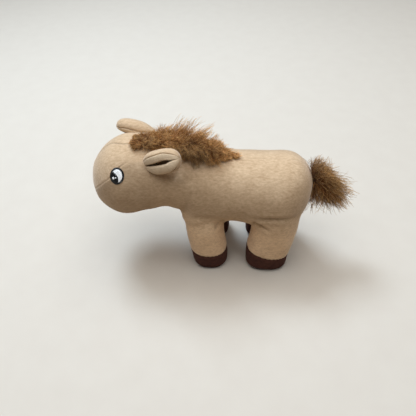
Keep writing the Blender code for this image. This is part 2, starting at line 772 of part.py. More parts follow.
def build_mane(bench):
    """The mane in two lengths, each a pile on its backing tape, parted at the neck."""
    split = -(NOD_UP + MANE_SPLIT)
    behind_split = bench.half_space("mane_split", NECK, RIGHT_ANGLE + NECK_LEAN + split)
    lengths = (
        ("front", head_rings, {}, bench.neck, MANE_FRONT_X, NECK_X, [behind_split]),
        ("back", torso_rings, {"collar_overrun": OVERRUN}, bench.horse, NECK_X, MANE_REAR_X, []),
    )
    tape_top = REST_GAP + MANE_TAPE_HEIGHT
    half = MANE_TAPE_HALF_WIDTH
    tape_ends = {
        "front": (MANE_FRONT_X + MANE_FADE, BACK_X),
        "back": (NECK_X, MANE_REAR_X - MANE_FADE),
    }
    for name, rings, overrun, carrier, start_x, end_x, ends in lengths:
        seat = loft(f"mane_{name}_seat", rings(REST_GAP, **overrun), BODY_SIDES, bench.horse)
        over = rings(tape_top + REST_GAP, **overrun)
        cleared = loft(f"mane_{name}_clearance", over, BODY_SIDES, bench.horse)
        tape_start, tape_end = tape_ends[name]
        low = (tape_start, -half, NECK_Z)
        high = (tape_end, half, NECK_Z + bench.reach)
        strip = block(f"mane_{name}_strip", low, high, bench.horse)
        tape = loft(f"mane_{name}_tape", rings(tape_top), BODY_SIDES, carrier, BROWN_TAPE)
        cut(tape, seat, *ends)
        cut(tape, strip, keep=True)
        pile_rings = crest_rings(rings(), start_x, end_x)
        pile = loft(f"mane_{name}_pile", pile_rings, CREST_SIDES, carrier, BROWN_PILE)
        cut(pile, cleared, *ends)


def build_tail(bench):
    """The tail's sewn tab and its tuft, on a fold above the rump."""
    root, out = rump_at(TAIL_ROOT_Z)
    hinge = root + out * (TAIL_TAB_HALF_HEIGHT + REST_GAP)
    pivot = pivot_at("tail_pivot", hinge, bench.horse)
    along = Vector((math.cos(TAIL_DROOP), 0, -math.sin(TAIL_DROOP)))
    up = Vector((math.sin(TAIL_DROOP), 0, math.cos(TAIL_DROOP)))
    axes = (RIGHTWARD * TAIL_TAB_HALF_WIDTH, up * TAIL_TAB_HALF_HEIGHT)
    tab_rings = [Ring(hinge + along * distance, *axes) for distance in (0, TAIL_TAB_LENGTH)]
    loft("tail_tab", tab_rings, TAIL_SIDES, pivot, BROWN_TAPE)
    start = TAIL_TAB_LENGTH + REST_GAP
    rings = []
    for index, swell in enumerate(TAIL_SWELL_SHARES):
        share = index / (len(TAIL_SWELL_SHARES) - 1)
        centre = hinge + along * (start + (TAIL_LENGTH - start) * share)
        radius = TAIL_RADIUS * swell
        rings.append(Ring(centre, RIGHTWARD * radius, up * radius))
    loft("tail_tuft", rings, TAIL_SIDES, pivot, BROWN_PILE)


def rump_at(z):
    """The rump's middle line at a height, and the way that it faces there."""
    top_line = [ring.at(0) for ring in torso_rings()]
    for low, high in zip(top_line, top_line[1:]):
        if low.z <= z <= high.z:
            place = low.lerp(high, (z - low.z) / (high.z - low.z))
            return place, RIGHTWARD.cross(high - low).normalized()
    raise ValueError(f"the rump does not reach {z}")


def settle(bench):
    """Puts the origin on the floor, under the middle of the whole horse."""
    bpy.context.view_layer.update()
    graph = bpy.context.evaluated_depsgraph_get()
    corners = []
    for piece in bpy.data.objects:
        if piece.type == "MESH" and not piece.hide_render:
            solid = piece.evaluated_get(graph)
            corners += [solid.matrix_world @ Vector(corner) for corner in solid.bound_box]
    low = Vector(min(corner[axis] for corner in corners) for axis in range(3))
    high = Vector(max(corner[axis] for corner in corners) for axis in range(3))
    middle = (low + high) / 2
    bench.horse.location = -Vector((middle.x, middle.y, low.z))


def main():
    """Clears the scene and builds the horse."""
    for old in list(bpy.data.objects):
        bpy.data.objects.remove(old)
    bench = Workbench()
    build_torso(bench)
    build_head(bench)
    for leg in bench.legs:
        build_leg(bench, leg)
    build_eyes(bench)
    build_ears(bench)
    build_mane(bench)
    build_tail(bench)
    settle(bench)


main()
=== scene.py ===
"""The looks of a small plush horse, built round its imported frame.

One sewn skin is made for the whole toy, with its seams, creases and soft lumps, and is then
parted where the toy bends. The folded ears, the stitched eyes and the long pile of the mane
and tail are set on that skin. Shapes are worked out in the toy's own space, which has the
mane's middle line at y = 0, and are moved into the frame when a piece is finished.
Metres, +Z up, nose towards -X, the horse's left side towards -Y.
"""

import json
import logging
import math
from collections.abc import Callable, Iterable, Sequence
from dataclasses import astuple, dataclass
from enum import Enum

import bmesh
import bpy
import numpy as np
from mathutils import Matrix, Vector
from mathutils.bvhtree import BVHTree

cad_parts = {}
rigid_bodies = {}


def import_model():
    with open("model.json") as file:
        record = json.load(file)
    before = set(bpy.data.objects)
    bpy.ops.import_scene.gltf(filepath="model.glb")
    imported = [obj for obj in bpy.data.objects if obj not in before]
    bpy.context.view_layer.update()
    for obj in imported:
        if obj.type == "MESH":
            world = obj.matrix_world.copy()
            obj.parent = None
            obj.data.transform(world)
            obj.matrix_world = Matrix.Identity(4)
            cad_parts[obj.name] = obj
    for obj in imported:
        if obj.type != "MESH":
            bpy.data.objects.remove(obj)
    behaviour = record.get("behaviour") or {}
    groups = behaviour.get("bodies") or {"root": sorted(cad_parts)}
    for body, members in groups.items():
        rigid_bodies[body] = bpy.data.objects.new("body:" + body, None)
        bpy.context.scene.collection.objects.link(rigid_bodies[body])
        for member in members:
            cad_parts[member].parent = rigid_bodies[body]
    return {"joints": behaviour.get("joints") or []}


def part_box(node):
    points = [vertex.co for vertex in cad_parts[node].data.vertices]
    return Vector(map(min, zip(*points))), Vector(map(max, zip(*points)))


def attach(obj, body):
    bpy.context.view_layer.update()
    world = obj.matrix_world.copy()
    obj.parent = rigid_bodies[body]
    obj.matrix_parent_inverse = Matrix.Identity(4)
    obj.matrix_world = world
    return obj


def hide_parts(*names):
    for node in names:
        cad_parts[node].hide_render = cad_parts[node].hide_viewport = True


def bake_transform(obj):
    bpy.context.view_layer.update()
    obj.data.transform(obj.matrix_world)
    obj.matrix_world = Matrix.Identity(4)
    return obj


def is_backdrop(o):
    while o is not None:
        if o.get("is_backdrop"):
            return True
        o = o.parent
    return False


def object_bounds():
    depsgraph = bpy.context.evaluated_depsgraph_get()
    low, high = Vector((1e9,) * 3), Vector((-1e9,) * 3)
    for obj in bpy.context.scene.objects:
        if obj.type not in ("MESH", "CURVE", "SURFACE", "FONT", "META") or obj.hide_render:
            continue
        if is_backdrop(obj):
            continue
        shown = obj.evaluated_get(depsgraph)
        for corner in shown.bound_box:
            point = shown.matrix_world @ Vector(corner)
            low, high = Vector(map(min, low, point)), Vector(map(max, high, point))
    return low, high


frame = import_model()
CAD_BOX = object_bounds()

LOG = logging.getLogger("plush_horse")
MM = 0.001
TINY = 1e-12  # keeps a division from failing
FULL_TURN = 2 * math.pi
RIGHT_ANGLE = math.pi / 2
UP = Vector((0, 0, 1))
BACK = Vector((1, 0, 0))
RIGHT = Vector((0, 1, 0))
ROUND = 2.0  # how square a plain oval is: a higher power is squarer
POINTED = 0.02 * MM  # a tube's end with shorter edges than this is drawn to a point
LEGS_PART = 14 * MM  # the place along the belly between the front and the hind legs

# The neck's bend, which the imported joint turns about, two distances behind and ahead of it along
# the neck, the first of which places the skin's cut, and the way from the toy's own space to the frame
NECK = Vector((-20.0, 0, 68.5)) * MM
NECK_LEAN = math.radians(20)
NECK_AHEAD = Vector((-math.cos(NECK_LEAN), 0, math.sin(NECK_LEAN)))
NECK_BEND = (-10.0 * MM, 15.0 * MM)
SHIFT = Vector(next(j["pos_m"] for j in frame["joints"] if j["name"] == "neck_nod")) - NECK


class Side(Enum):
    """A side of the horse, as the sign of its y."""

    LEFT = -1
    RIGHT = 1

    @property
    def word(self) -> str:
        """The side's name in the names of pieces and nodes."""
        return self.name.lower()


class End(Enum):
    """An end of the horse that a pair of legs belongs to."""

    FRONT = "front"
    HIND = "hind"


def smooth_step(values: np.ndarray, start: float, end: float) -> np.ndarray:
    """A soft change from 0 at start to 1 at end.

    Args:
        values: the numbers to weigh.
        start: where the change begins.
        end: where it is complete.

    Returns:
        A weight for each number.
    """
    share = np.clip((np.asarray(values) - start) / (end - start), 0, 1)
    return share * share * (3 - 2 * share)


def step_mm(values: np.ndarray, start: float, end: float) -> np.ndarray:
    """The same soft change, with its start and end in millimetres."""
    return smooth_step(values, start * MM, end * MM)


def turned(points: np.ndarray) -> np.ndarray:
    """Each row of an array of vectors, at length one."""
    return points / np.maximum(np.linalg.norm(points, axis=-1, keepdims=True), TINY)


# Finishes


def linear(colour: str) -> tuple[float, float, float, float]:
    """The linear colour of an sRGB hex value.

    Args:
        colour: six hex digits.

    Returns:
        Red, green, blue and a full alpha.
    """
    channels = [int(colour[start : start + 2], 16) / 255 for start in (0, 2, 4)]
    return (*(((c + 0.055) / 1.055) ** 2.4 if c > 0.04045 else c / 12.92 for c in channels), 1.0)


def add_node(
    tree: bpy.types.NodeTree,
    kind: str,
    values: dict | None = None,
    links: dict | None = None,
    **settings: object,
) -> bpy.types.Node:
    """Adds a node to a material.

    Args:
        tree: the material's node tree.
        kind: the node's type.
        values: numbers or colours for its inputs, by name or index.
        links: output sockets to join to its inputs, by name or index.
        settings: the node's own properties.

    Returns:
        The new node.
    """
    node = tree.nodes.new(kind)
    for name, value in settings.items():
        setattr(node, name, value)
    for key, value in (values or {}).items():
        node.inputs[key].default_value = value
    for key, source in (links or {}).items():
        tree.links.new(source, node.inputs[key])
    return node


def blank_material(
    name: str, gloss: dict[str, object]
) -> tuple[bpy.types.Material, bpy.types.NodeTree, bpy.types.Node]:
    """A new material with only its shader.

    Args:
        name: the material's name.
        gloss: numbers and colours for the shader's own sockets.

    Returns:
        The material, its node tree and its Principled shader.
    """
    material = bpy.data.materials.new(name)
    material.use_nodes = True
    shader = material.node_tree.nodes["Principled BSDF"]
    for socket, value in gloss.items():
        shader.inputs[socket].default_value = value
    return material, material.node_tree, shader


@dataclass(frozen=True)
class Fleece:
    """Short-napped polyester fleece, knitted, with its nap raised by brushing.

    The nap gives fine soft streaks of lit and shaded tufts that lie in one direction, and a matt
    face that pales at its edges. Painted shade darkens it along each seam and crease and over the
    head's side panels, and painted light makes the lower legs paler.
    """

    name: str
    lit: str
    shaded: str
    # the colour of the painted shade in seams, creases and the cheeks
    crease: str
    bloom: str
    sheen: float = 0.6
    nap_mm: float = 1.15  # real fibres are 0.02 mm: drawn as the 1 mm tufts that they lie in
    mottle_mm: float = 7.0
    nap_height_mm: float = 0.30
    contrast: float = 0.72
    nap_lie: tuple[float, float, float] = (0.15, 0.22, 0.25)  # the turn of the way it lies
    nap_stretch: tuple[float, float, float] = (0.5, 1.0, 1.0)  # tufts are twice as long as wide
    mottle_share: float = 0.26  # how much of the light and dark comes from soft patches
    low_pale: float = 1.0  # painted light: how much paler the lower legs are made, for the floor's bounce light
    low_span_mm: tuple[float, float] = (55.0, 36.0)  # the heights that it starts and ends at

    def make(self) -> bpy.types.Material:
        """Builds the material, which reads the painted shade of seams, creases and cheeks."""
        gloss = {
            "Roughness": 0.95,
            "Specular IOR Level": 0.25,
            "Sheen Weight": self.sheen,
            "Sheen Roughness": 0.45,
            "Sheen Tint": linear(self.bloom),
        }
        material, tree, shader = blank_material(self.name, gloss)
        place = add_node(tree, "ShaderNodeTexCoord")
        lie = add_node(
            tree,
            "ShaderNodeMapping",
            {"Rotation": self.nap_lie, "Scale": self.nap_stretch},
            {"Vector": place.outputs["Object"]},
        )
        nap = add_node(
            tree,
            "ShaderNodeTexNoise",
            {"Scale": 1 / (self.nap_mm * MM), "Detail": 3.0, "Roughness": 0.66},
            {"Vector": lie.outputs["Vector"]},
        )
        mottle = add_node(
            tree,
            "ShaderNodeTexNoise",
            {"Scale": 1 / (self.mottle_mm * MM), "Detail": 2.0},
            {"Vector": place.outputs["Object"]},
        )
        mixed = add_node(
            tree,
            "ShaderNodeMix",
            {"Factor": self.mottle_share},
            {"A": nap.outputs["Fac"], "B": mottle.outputs["Fac"]},
            data_type="FLOAT",
        )
        share = add_node(
            tree,
            "ShaderNodeMapRange",
            {"From Min": 0.5 - self.contrast / 4, "From Max": 0.5 + self.contrast / 4},
            {"Value": mixed.outputs["Result"]},
        )
        face = add_node(
            tree,
            "ShaderNodeMix",
            {"A": linear(self.shaded), "B": linear(self.lit)},
            {"Factor": share.outputs["Result"]},
            data_type="RGBA",
        )
        # painted light: the colour is made paler down the lower legs, standing in for the floor's
        # bounce
        height = add_node(tree, "ShaderNodeSeparateXYZ", links={"Vector": place.outputs["Object"]})
        start, end = (height_mm * MM for height_mm in self.low_span_mm)
        paler = add_node(
            tree,
            "ShaderNodeMapRange",
            {"From Min": start, "From Max": end, "To Min": 1.0, "To Max": self.low_pale},
            {"Value": height.outputs["Z"]},
        )
        with_painted_leg_light = add_node(
            tree,
            "ShaderNodeVectorMath",
            links={0: face.outputs["Result"], "Scale": paler.outputs["Result"]},
            operation="SCALE",
        )
        # painted shade: the crease colour is mixed in where a seam, crease or cheek is darkened
        closed = add_node(
            tree, "ShaderNodeAttribute", attribute_name="crease", attribute_type="GEOMETRY"
        )
        coloured = add_node(
            tree,
            "ShaderNodeMix",
            {"B": linear(self.crease)},
            {"Factor": closed.outputs["Fac"], "A": with_painted_leg_light.outputs["Vector"]},
            data_type="RGBA",
        )
        bump = add_node(
            tree,
            "ShaderNodeBump",
            {"Strength": 0.6, "Distance": self.nap_height_mm * MM},
            {"Height": nap.outputs["Fac"]},
        )
        tree.links.new(coloured.outputs["Result"], shader.inputs["Base Color"])
        tree.links.new(bump.outputs["Normal"], shader.inputs["Normal"])
        return material


@dataclass(frozen=True)
class LongPile:
    """Long modacrylic pile: fine crimped fibres, dark at the root and sun-gold at the tip.

    Each fibre is a round glossy thread, so locks catch soft lines of light.
    """

    name: str
    root: str
    middle: str
    tip: str
    spread: float = 0.55  # how much darker and lighter than the ramp a strand may be

    def make(self) -> bpy.types.Material:
        """Builds the material, which reads each strand's own shade and the share along it."""
        gloss = {
            "Roughness": 0.55,
            "Specular IOR Level": 0.35,
            "Sheen Weight": 0.1,
            "Sheen Roughness": 0.4,
        }
        material, tree, shader = blank_material(self.name, gloss)
        along, strand = (
            add_node(tree, "ShaderNodeAttribute", attribute_name=name, attribute_type="GEOMETRY")
            for name in ("along", "strand")
        )
        ramp = add_node(tree, "ShaderNodeValToRGB", links={"Fac": along.outputs["Fac"]})
        stops = ramp.color_ramp.elements
        stops.new(0.5)
        for stop, place, colour in zip(
            stops, (0.05, 0.5, 0.95), (self.root, self.middle, self.tip)
        ):
            stop.position, stop.color = place, linear(colour)
        shade = add_node(
            tree,
            "ShaderNodeMapRange",
            {"To Min": 1 - self.spread, "To Max": 1 + self.spread},
            {"Value": strand.outputs["Fac"]},
        )
        varied = add_node(
            tree,
            "ShaderNodeVectorMath",
            links={0: ramp.outputs["Color"], "Scale": shade.outputs["Result"]},
            operation="SCALE",
        )
        tree.links.new(varied.outputs["Vector"], shader.inputs["Base Color"])
        return material


@dataclass(frozen=True)
class SatinThread:
    """Trilobal polyester embroidery thread, laid side by side in satin stitch.

    The twisted ply gives each thread a fine diagonal ripple, with painted shade in its valleys, and a
    soft shine.
    """

    name: str
    face: str
    valley: str
    roughness: float
    ply_mm: float = 0.5  # real twists are about 0.3 mm long: drawn coarser, to show
    twist_height_mm: float = 0.05
    brightener: float = 0.0  # painted light: a faint glow that makes the white thread brighter than the lamps light it

    def make(self) -> bpy.types.Material:
        """Builds the material."""
        gloss = {
            "Roughness": self.roughness,
            "Emission Color": linear(self.face),
            "Emission Strength": self.brightener,
        }
        material, tree, shader = blank_material(self.name, gloss)
        place = add_node(tree, "ShaderNodeTexCoord")
        ply = add_node(
            tree,
            "ShaderNodeTexNoise",
            {"Scale": 1 / (self.ply_mm * MM), "Detail": 2.0},
            {"Vector": place.outputs["Object"]},
        )
        # painted shade: the ply's valleys are coloured darker
        colour = add_node(
            tree,
            "ShaderNodeMix",
            {"A": linear(self.valley), "B": linear(self.face)},
            {"Factor": ply.outputs["Fac"]},
            data_type="RGBA",
        )
        bump = add_node(
            tree,
            "ShaderNodeBump",
            {"Strength": 0.4, "Distance": self.twist_height_mm * MM},
            {"Height": ply.outputs["Fac"]},
        )
        tree.links.new(colour.outputs["Result"], shader.inputs["Base Color"])
        tree.links.new(bump.outputs["Normal"], shader.inputs["Normal"])
        return material


# the body's fleece has painted light on its lower legs
BEIGE_FLEECE = Fleece(
    "beige_polyester_fleece", "D6BA98", "B59775", "4A3320", "FFF1DF", low_pale=1.5
)
EAR_FLEECE = Fleece("beige_lining_fleece", "E8D2B4", "CCB290", "4A3320", "FFF1DF", nap_mm=0.8)
HOOF_FLEECE = Fleece("brown_hoof_fleece", "5F3C30", "412521", "1C0F0D", "C9A596", sheen=0.06)
GOLDEN_PILE = LongPile("golden_brown_modacrylic_pile", "3E2110", "98602B", "D6A668")
BLACK_SATIN = SatinThread("black_satin_thread", "17181A", "0A0A0B", 0.38)
# the white thread has a faint painted glow
WHITE_SATIN = SatinThread("white_satin_thread", "FFFFFF", "F0F4F4", 0.36, brightener=0.1)


# Making and placing pieces


def loft(bm: bmesh.types.BMesh, outlines: Sequence[Sequence[Vector]]) -> None:
    """Adds a closed tube through outlines of equal counts, drawn to a point at a tiny end.

    Args:
        bm: the mesh that gets the tube.
        outlines: the points of each cross-section, in order.
    """
    loops = []
    for outline in outlines:
        verts = bmesh.ops.create_circle(bm, segments=len(outline), radius=1)["verts"]
        edges = list({edge for vert in verts for edge in vert.link_edges})
        for vert, place in zip(verts, outline):
            vert.co = place
        loops.append((verts, edges))
    for near, far in zip(loops, loops[1:]):
        bmesh.ops.bridge_loops(bm, edges=near[1] + far[1])
    for verts, edges in (loops[0], loops[-1]):
        if edges[0].calc_length() < POINTED:
            bmesh.ops.pointmerge(bm, verts=verts, merge_co=verts[0].co)
        else:
            bmesh.ops.holes_fill(bm, edges=edges, sides=0)


def mesh_of(name: str, bm: bmesh.types.BMesh) -> bpy.types.Mesh:
    """The mesh that a bmesh holds, which is then freed."""
    mesh = bpy.data.meshes.new(name)
    bm.to_mesh(mesh)
    bm.free()
    return mesh


def new_object(name: str, data: bpy.types.ID) -> bpy.types.Object:
    """An object of a mesh, curve, lamp or camera, in the scene."""
    made = bpy.data.objects.new(name, data)
    bpy.context.scene.collection.objects.link(made)
    return made


def add_piece(name: str, mesh: bpy.types.Mesh, material: bpy.types.Material) -> bpy.types.Object:
    """An object of a finished mesh, smooth and in one material.

    Args:
        name: the piece's name.
        mesh: its mesh, already in the frame.
        material: its finish.

    Returns:
        The object, at the origin.
    """
    mesh.materials.clear()
    mesh.materials.append(material)
    mesh.shade_smooth()
    return new_object(name, mesh)


def evaluated_mesh(
    source: bpy.types.Mesh | bpy.types.Curve,
    dress: Callable[[bpy.types.Object], None] | None = None,
    frames: int = 0,
) -> bpy.types.Mesh:
    """The mesh that a curve, or a mesh with modifiers, comes to.

    Args:
        source: the data to evaluate, which is removed afterwards.
        dress: adds the modifiers to the object, if there are any.
        frames: how many frames of a simulation are run.

    Returns:
        A new mesh.
    """
    helper = new_object("helper", source)
    if dress:
        dress(helper)
    for step in range(frames):
        bpy.context.scene.frame_set(step + 1)
    bpy.context.view_layer.update()
    graph = bpy.context.evaluated_depsgraph_get()
    made = bpy.data.meshes.new_from_object(helper.evaluated_get(graph), depsgraph=graph)
    bpy.data.objects.remove(helper)
    bpy.data.batch_remove([source])
    return made


def report(piece: bpy.types.Object) -> None:
    """Logs a finished piece and its number of faces."""
    LOG.info("%s: %d faces", piece.name, len(piece.data.polygons))


# Forms


@dataclass(frozen=True)
class Ring:
    """One cross-section: its centre, two half-axes, and how square each half is."""

    centre: Vector
    across: Vector
    up: Vector
    top_square: float = ROUND
    low_square: float = ROUND

    def outline(self, sides: int) -> list[Vector]:
        """Points all the way round, from the top towards +Y."""
        points = []
        for step in range(sides):
            turn = FULL_TURN * step / sides
            x, y = math.sin(turn), math.cos(turn)
            power = ROUND / (self.top_square if y > 0 else self.low_square)
            side = math.copysign(abs(x) ** power, x)
            rise = math.copysign(abs(y) ** power, y)
            points.append(self.centre + self.across * side + self.up * rise)
        return points


@dataclass(frozen=True)
class Station:
    """A named cross-section of the body, in millimetres and degrees."""

    x: float
    z: float
    half_height: float
    half_width: float
    lean: float = 0.0
    low_square: float = ROUND

    def ring(self, grow: float, size: float = 1.0, centre: Vector | None = None) -> Ring:
        """The cross-section, grown all round, then scaled.

        Args:
            grow: how much is added to both half-axes, in metres.
            size: a share of the full size.
            centre: another centre than its own.

        Returns:
            The cross-section, in metres.
        """
        lean = math.radians(self.lean)
        up = Vector((math.sin(lean), 0, math.cos(lean)))
        middle = centre or Vector((self.x, 0, self.z)) * MM
        across = RIGHT * (self.half_width * MM + grow) * size
        square = ROUND + (self.low_square - ROUND) * size
        return Ring(middle, across, up * (self.half_height * MM + grow) * size, ROUND, square)


@dataclass(frozen=True)
class BodyForm:
    """The head and torso as one row of cross-sections from nose to rump."""

    nose: tuple[float, float] = (-84.8, 65.8)
    rump: tuple[float, float] = (63.8, 63.5)
    stations: tuple[Station, ...] = (
        Station(-59.0, 69.3, 27.8, 26.1),
        Station(-44.9, 71.6, 25.3, 25.3),
        Station(-32.5, 71.3, 23.2, 23.2, 8),
        Station(-20.0, 68.5, 23.4, 23.4, 20),
        Station(-5.0, 64.0, 24.0, 24.2, 10, 3.1),
        Station(14.0, 61.2, 22.8, 24.6, 0, 2.3),
        Station(40.0, 58.4, 25.2, 26.2, 0, 3.1),
    )
    sides: int = 64
    steps: int = 8
    cap_steps: int = 14

    def rings(self, grow: float) -> list[Ring]:
        """Every cross-section, grown all round.

        Args:
            grow: how much fuller than the sewn pattern the form is, in metres.

        Returns:
            Cross-sections from the nose to the rump.
        """
        first, last = self.stations[0], self.stations[-1]
        rings = self.cap(first, self.nose, grow)
        for index in range(len(self.stations) - 1):
            near = [min(max(index + step, 0), len(self.stations) - 1) for step in (-1, 0, 1, 2)]
            four = [astuple(self.stations[place]) for place in near]
            for step in range(self.steps):
                share = step / self.steps
                rings.append(Station(*(self.curve(v, share) for v in zip(*four))).ring(grow))
        rings.append(last.ring(grow))
        return rings + self.cap(last, self.rump, grow)[::-1]

    def cap(self, station: Station, tip: tuple[float, float], grow: float) -> list[Ring]:
        """Rings of a half ellipsoid, from its tip to the station that it closes."""
        centre = Vector((station.x, 0, station.z)) * MM
        reach = Vector((tip[0], 0, tip[1])) * MM - centre
        reach += reach.normalized() * grow
        turns = [RIGHT_ANGLE * step / self.cap_steps for step in range(self.cap_steps)]
        return [station.ring(grow, math.sin(t), centre + reach * math.cos(t)) for t in turns]

    @staticmethod
    def curve(values: Sequence[float], share: float) -> float:
        """A smooth curve from the second of four values to the third."""
        before, start, end, after = values
        slope_in, slope_out = (end - before) / 2, (after - start) / 2
        square, cube = share**2, share**3
        return (
            start * (2 * cube - 3 * square + 1)
            + slope_in * (cube - 2 * square + share)
            + end * (3 * square - 2 * cube)
            + slope_out * (cube - square)
        )


@dataclass(frozen=True)
class LegForm:
    """One leg from its flat sole to the round top inside the flank, in millimetres."""

    end: End
    side: Side
    hip: tuple[float, float]
    thigh_radius: float
    hoof_x: float
    hoof_half_length: float
    band_z: float
    band_tilt: float
    skin_top: float
    bend_end: float
    y: float = 14.6
    half_width: float = 12.0
    square: float = 2.5
    rounding: float = 4.2
    sides: int = 40
    steps: int = 10

    @property
    def name(self) -> str:
        """The leg's name in the names of pieces, nodes and bodies."""
        return f"{self.end.value}_{self.side.word}"

    @property
    def band(self) -> tuple[Vector, Vector]:
        """A point of the hoof's seam, and the way that the seam's plane faces."""
        tilt = math.radians(self.band_tilt)
        place = Vector((self.hoof_x, 0, self.band_z)) * MM
        return place, Vector((math.sin(tilt), 0, math.cos(tilt)))

    def ring(self, x: float, z: float, length: float, width: float, square: float) -> Ring:
        """A level cross-section, from millimetres."""
        centre = Vector((x, self.side.value * self.y, z)) * MM
        return Ring(centre, RIGHT * width * MM, BACK * length * MM, square, square)

    def rings(self, grow: float) -> list[Ring]:
        """Every cross-section, grown all round.

        Args:
            grow: how much fuller than the sewn pattern the form is, in metres.

        Returns:
            Cross-sections from the sole to the top.
        """
        more = grow / MM
        rings = []
        turns = [RIGHT_ANGLE * step / self.steps for step in range(self.steps)]
        for turn in turns:
            inset = self.rounding * (1 - math.sin(turn)) - more
            z = self.rounding * (1 - math.cos(turn)) - more
            sizes = self.hoof_half_length - inset, self.half_width - inset
            rings.append(self.ring(self.hoof_x, z, *sizes, self.square))
        hip_x, hip_z = self.hip
        for share in (step / self.steps for step in range(self.steps)):
            ease = float(smooth_step(share, 0, 1))
            x = self.hoof_x + (hip_x - self.hoof_x) * ease
            z = self.rounding + (hip_z - self.rounding) * share
            length = self.hoof_half_length + (self.thigh_radius - self.hoof_half_length) * ease
            square = self.square + (ROUND - self.square) * ease
            rings.append(self.ring(x, z, length + more, self.half_width + more, square))
        for turn in [*turns, RIGHT_ANGLE]:
            z = hip_z + (self.thigh_radius + more) * math.sin(turn)
            size = math.cos(turn)
            length = (self.thigh_radius + more) * size
            rings.append(self.ring(hip_x, z, length, (self.half_width + more) * size, ROUND))
        return rings


def all_legs() -> list[LegForm]:
    """The four legs, with the sizes that differ between the front and the hind ones."""
    front = {
        "hip": (-8.8, 36.2),
        "thigh_radius": 13.2,
        "hoof_x": -5.6,
        "hoof_half_length": 12.7,
        "band_z": 15.0,
        "band_tilt": 1.0,
        "skin_top": 35.5,
        "bend_end": 19.0,
    }
    hind = {
        "hip": (40.8, 43.0),
        "thigh_radius": 16.0,
        "hoof_x": 36.6,
        "hoof_half_length": 15.2,
        "band_z": 15.0,
        "band_tilt": 9.0,
        "skin_top": 31.5,
        "bend_end": 18.0,
    }
    sizes = {End.FRONT: front, End.HIND: hind}
    return [LegForm(end, side, **sizes[end]) for side in Side for end in End]


# The sewn skin


@dataclass(frozen=True)
class Stitching:
    """A sewn seam: a groove that the stitches pull in, with puckers beside it and painted shade in it.
    """

    depth: float = 0.45 * MM
    half_width: float = 0.75 * MM
    pucker_length: float = 3.1 * MM
    # the painted shade in the seam's groove
    darkness: float = 0.6
    pucker: float = 0.3  # how much more the cloth is pulled in at each stitch
    roll: float = 0.30  # how much it rises beside the seam
    roll_place: float = 2.3  # where it rises, in half-widths from the seam
    shadow_narrowness: float = 1.8

    def press(
        self, distance: np.ndarray, along: np.ndarray, share: np.ndarray
    ) -> tuple[np.ndarray, np.ndarray]:
        """How the seam moves the cloth, and the painted shade in its groove.

        Args:
            distance: each point's distance from the seam.
            along: each point's place along the seam.
            share: how much of the seam is felt at each point, from 0 to 1.

        Returns:
            The move along the normal and the painted shade of each point.
        """
        near = (distance / self.half_width) ** 2
        stitch = 1 + self.pucker * np.sin(FULL_TURN * along / self.pucker_length)
        groove = np.exp(-near) * stitch
        beside = np.abs(distance) / self.half_width - self.roll_place
        roll = self.roll * np.exp(-(beside**2))
        # painted shade: the groove is darkened where its shadow falls
        dark = np.exp(-self.shadow_narrowness * near) * share
        return self.depth * (roll - groove) * share, dark * self.darkness


@dataclass(frozen=True)
class Crease:
    """A soft fold pressed into the cloth along a line of points, in millimetres."""

    line: tuple[tuple[float, float, float], ...]
    depth: float
    half_width: float
    # the painted shade in the fold
    darkness: float = 0.0
    roll: float = 0.35  # how much the cloth rises beside the fold
    roll_place: float = 2.2  # where it rises, in half-widths from the fold
    shadow_narrowness: float = 2.0

    def press(self, distance: np.ndarray, share: np.ndarray) -> tuple[np.ndarray, np.ndarray]:
        """How the fold moves the cloth and the painted shade in it, less and less towards its two ends.

        Args:
            distance: each point's distance from the fold.
            share: each point's place along the fold, from 0 to 1.

        Returns:
            The move along the normal and the painted shade of each point.
        """
        width = self.half_width * MM
        ends = np.sin(math.pi * np.clip(share, 0.03, 0.97)) ** 0.7
        pressed = np.exp(-((distance / width) ** 2))
        rolled = self.roll * np.exp(-((distance / width - self.roll_place) ** 2))
        dark = np.exp(-self.shadow_narrowness * (distance / width) ** 2) * ends * self.darkness
        return self.depth * MM * (rolled - pressed) * ends, dark


# Each crease: its line, depth and half-width in millimetres, and the painted shade in its fold
CREASES = (
    # where the hind leg is pushed up under the flank
    Crease(
        ((24.4, -25, 54.7), (30.3, -25, 54.4), (38.7, -26, 55), (45.1, -25, 54.8), (53.3, -21, 52.5)),
        1.15, 1.7, 0.26,
    ),
    Crease(((24.8, -24, 50), (26.8, -24, 48.3), (30.9, -24, 45.6), (36.6, -26, 43.6)), 1.25, 1.6, 0.42),
    Crease(((24.4, -18, 45), (25.4, -23, 47.5), (25.2, -25, 51)), 0.7, 1.5, 0.28),
    # where the front leg meets the chest and the belly
    Crease(
        ((-23, -17, 47), (-17, -23, 50.5), (-9, -25, 52), (-1, -25, 51), (5, -24, 48)),
        0.50, 2.0, 0.08,
    ),
    Crease(((6, -23, 48), (4, -25, 44), (1.5, -25.5, 41)), 0.75, 1.7, 0.26),
    # soft folds under the jaw and down the neck
    Crease(((-36, -17, 53), (-31, -21, 58), (-27, -23.5, 66)), 0.55, 2.6, 0.05),
    Crease(((-27, -14, 49), (-22, -20, 54), (-19, -23, 62), (-18, -22.5, 70)), 0.65, 3.0, 0.08),
    Crease(((-20, -12.5, 88.5), (-25, -18, 83), (-29, -21, 78)), 0.45, 1.8, 0.05),
)

# The seam that joins brow and cheek, from under the nose past the eye to the ear
BROW_SEAM = (
    (-85, 0, 65.4), (-83, -9, 66.6), (-78.8, -16, 70), (-74.2, -19.5, 75.3), (-70.1, -20.4, 79.2),
    (-66.7, -21, 82.1), (-62.4, -19.3, 86.3), (-59.2, -17.8, 89.1), (-56.5, -16.5, 90.7),
    (-53, -15, 91.9), (-47.5, -13.8, 92.7),
)


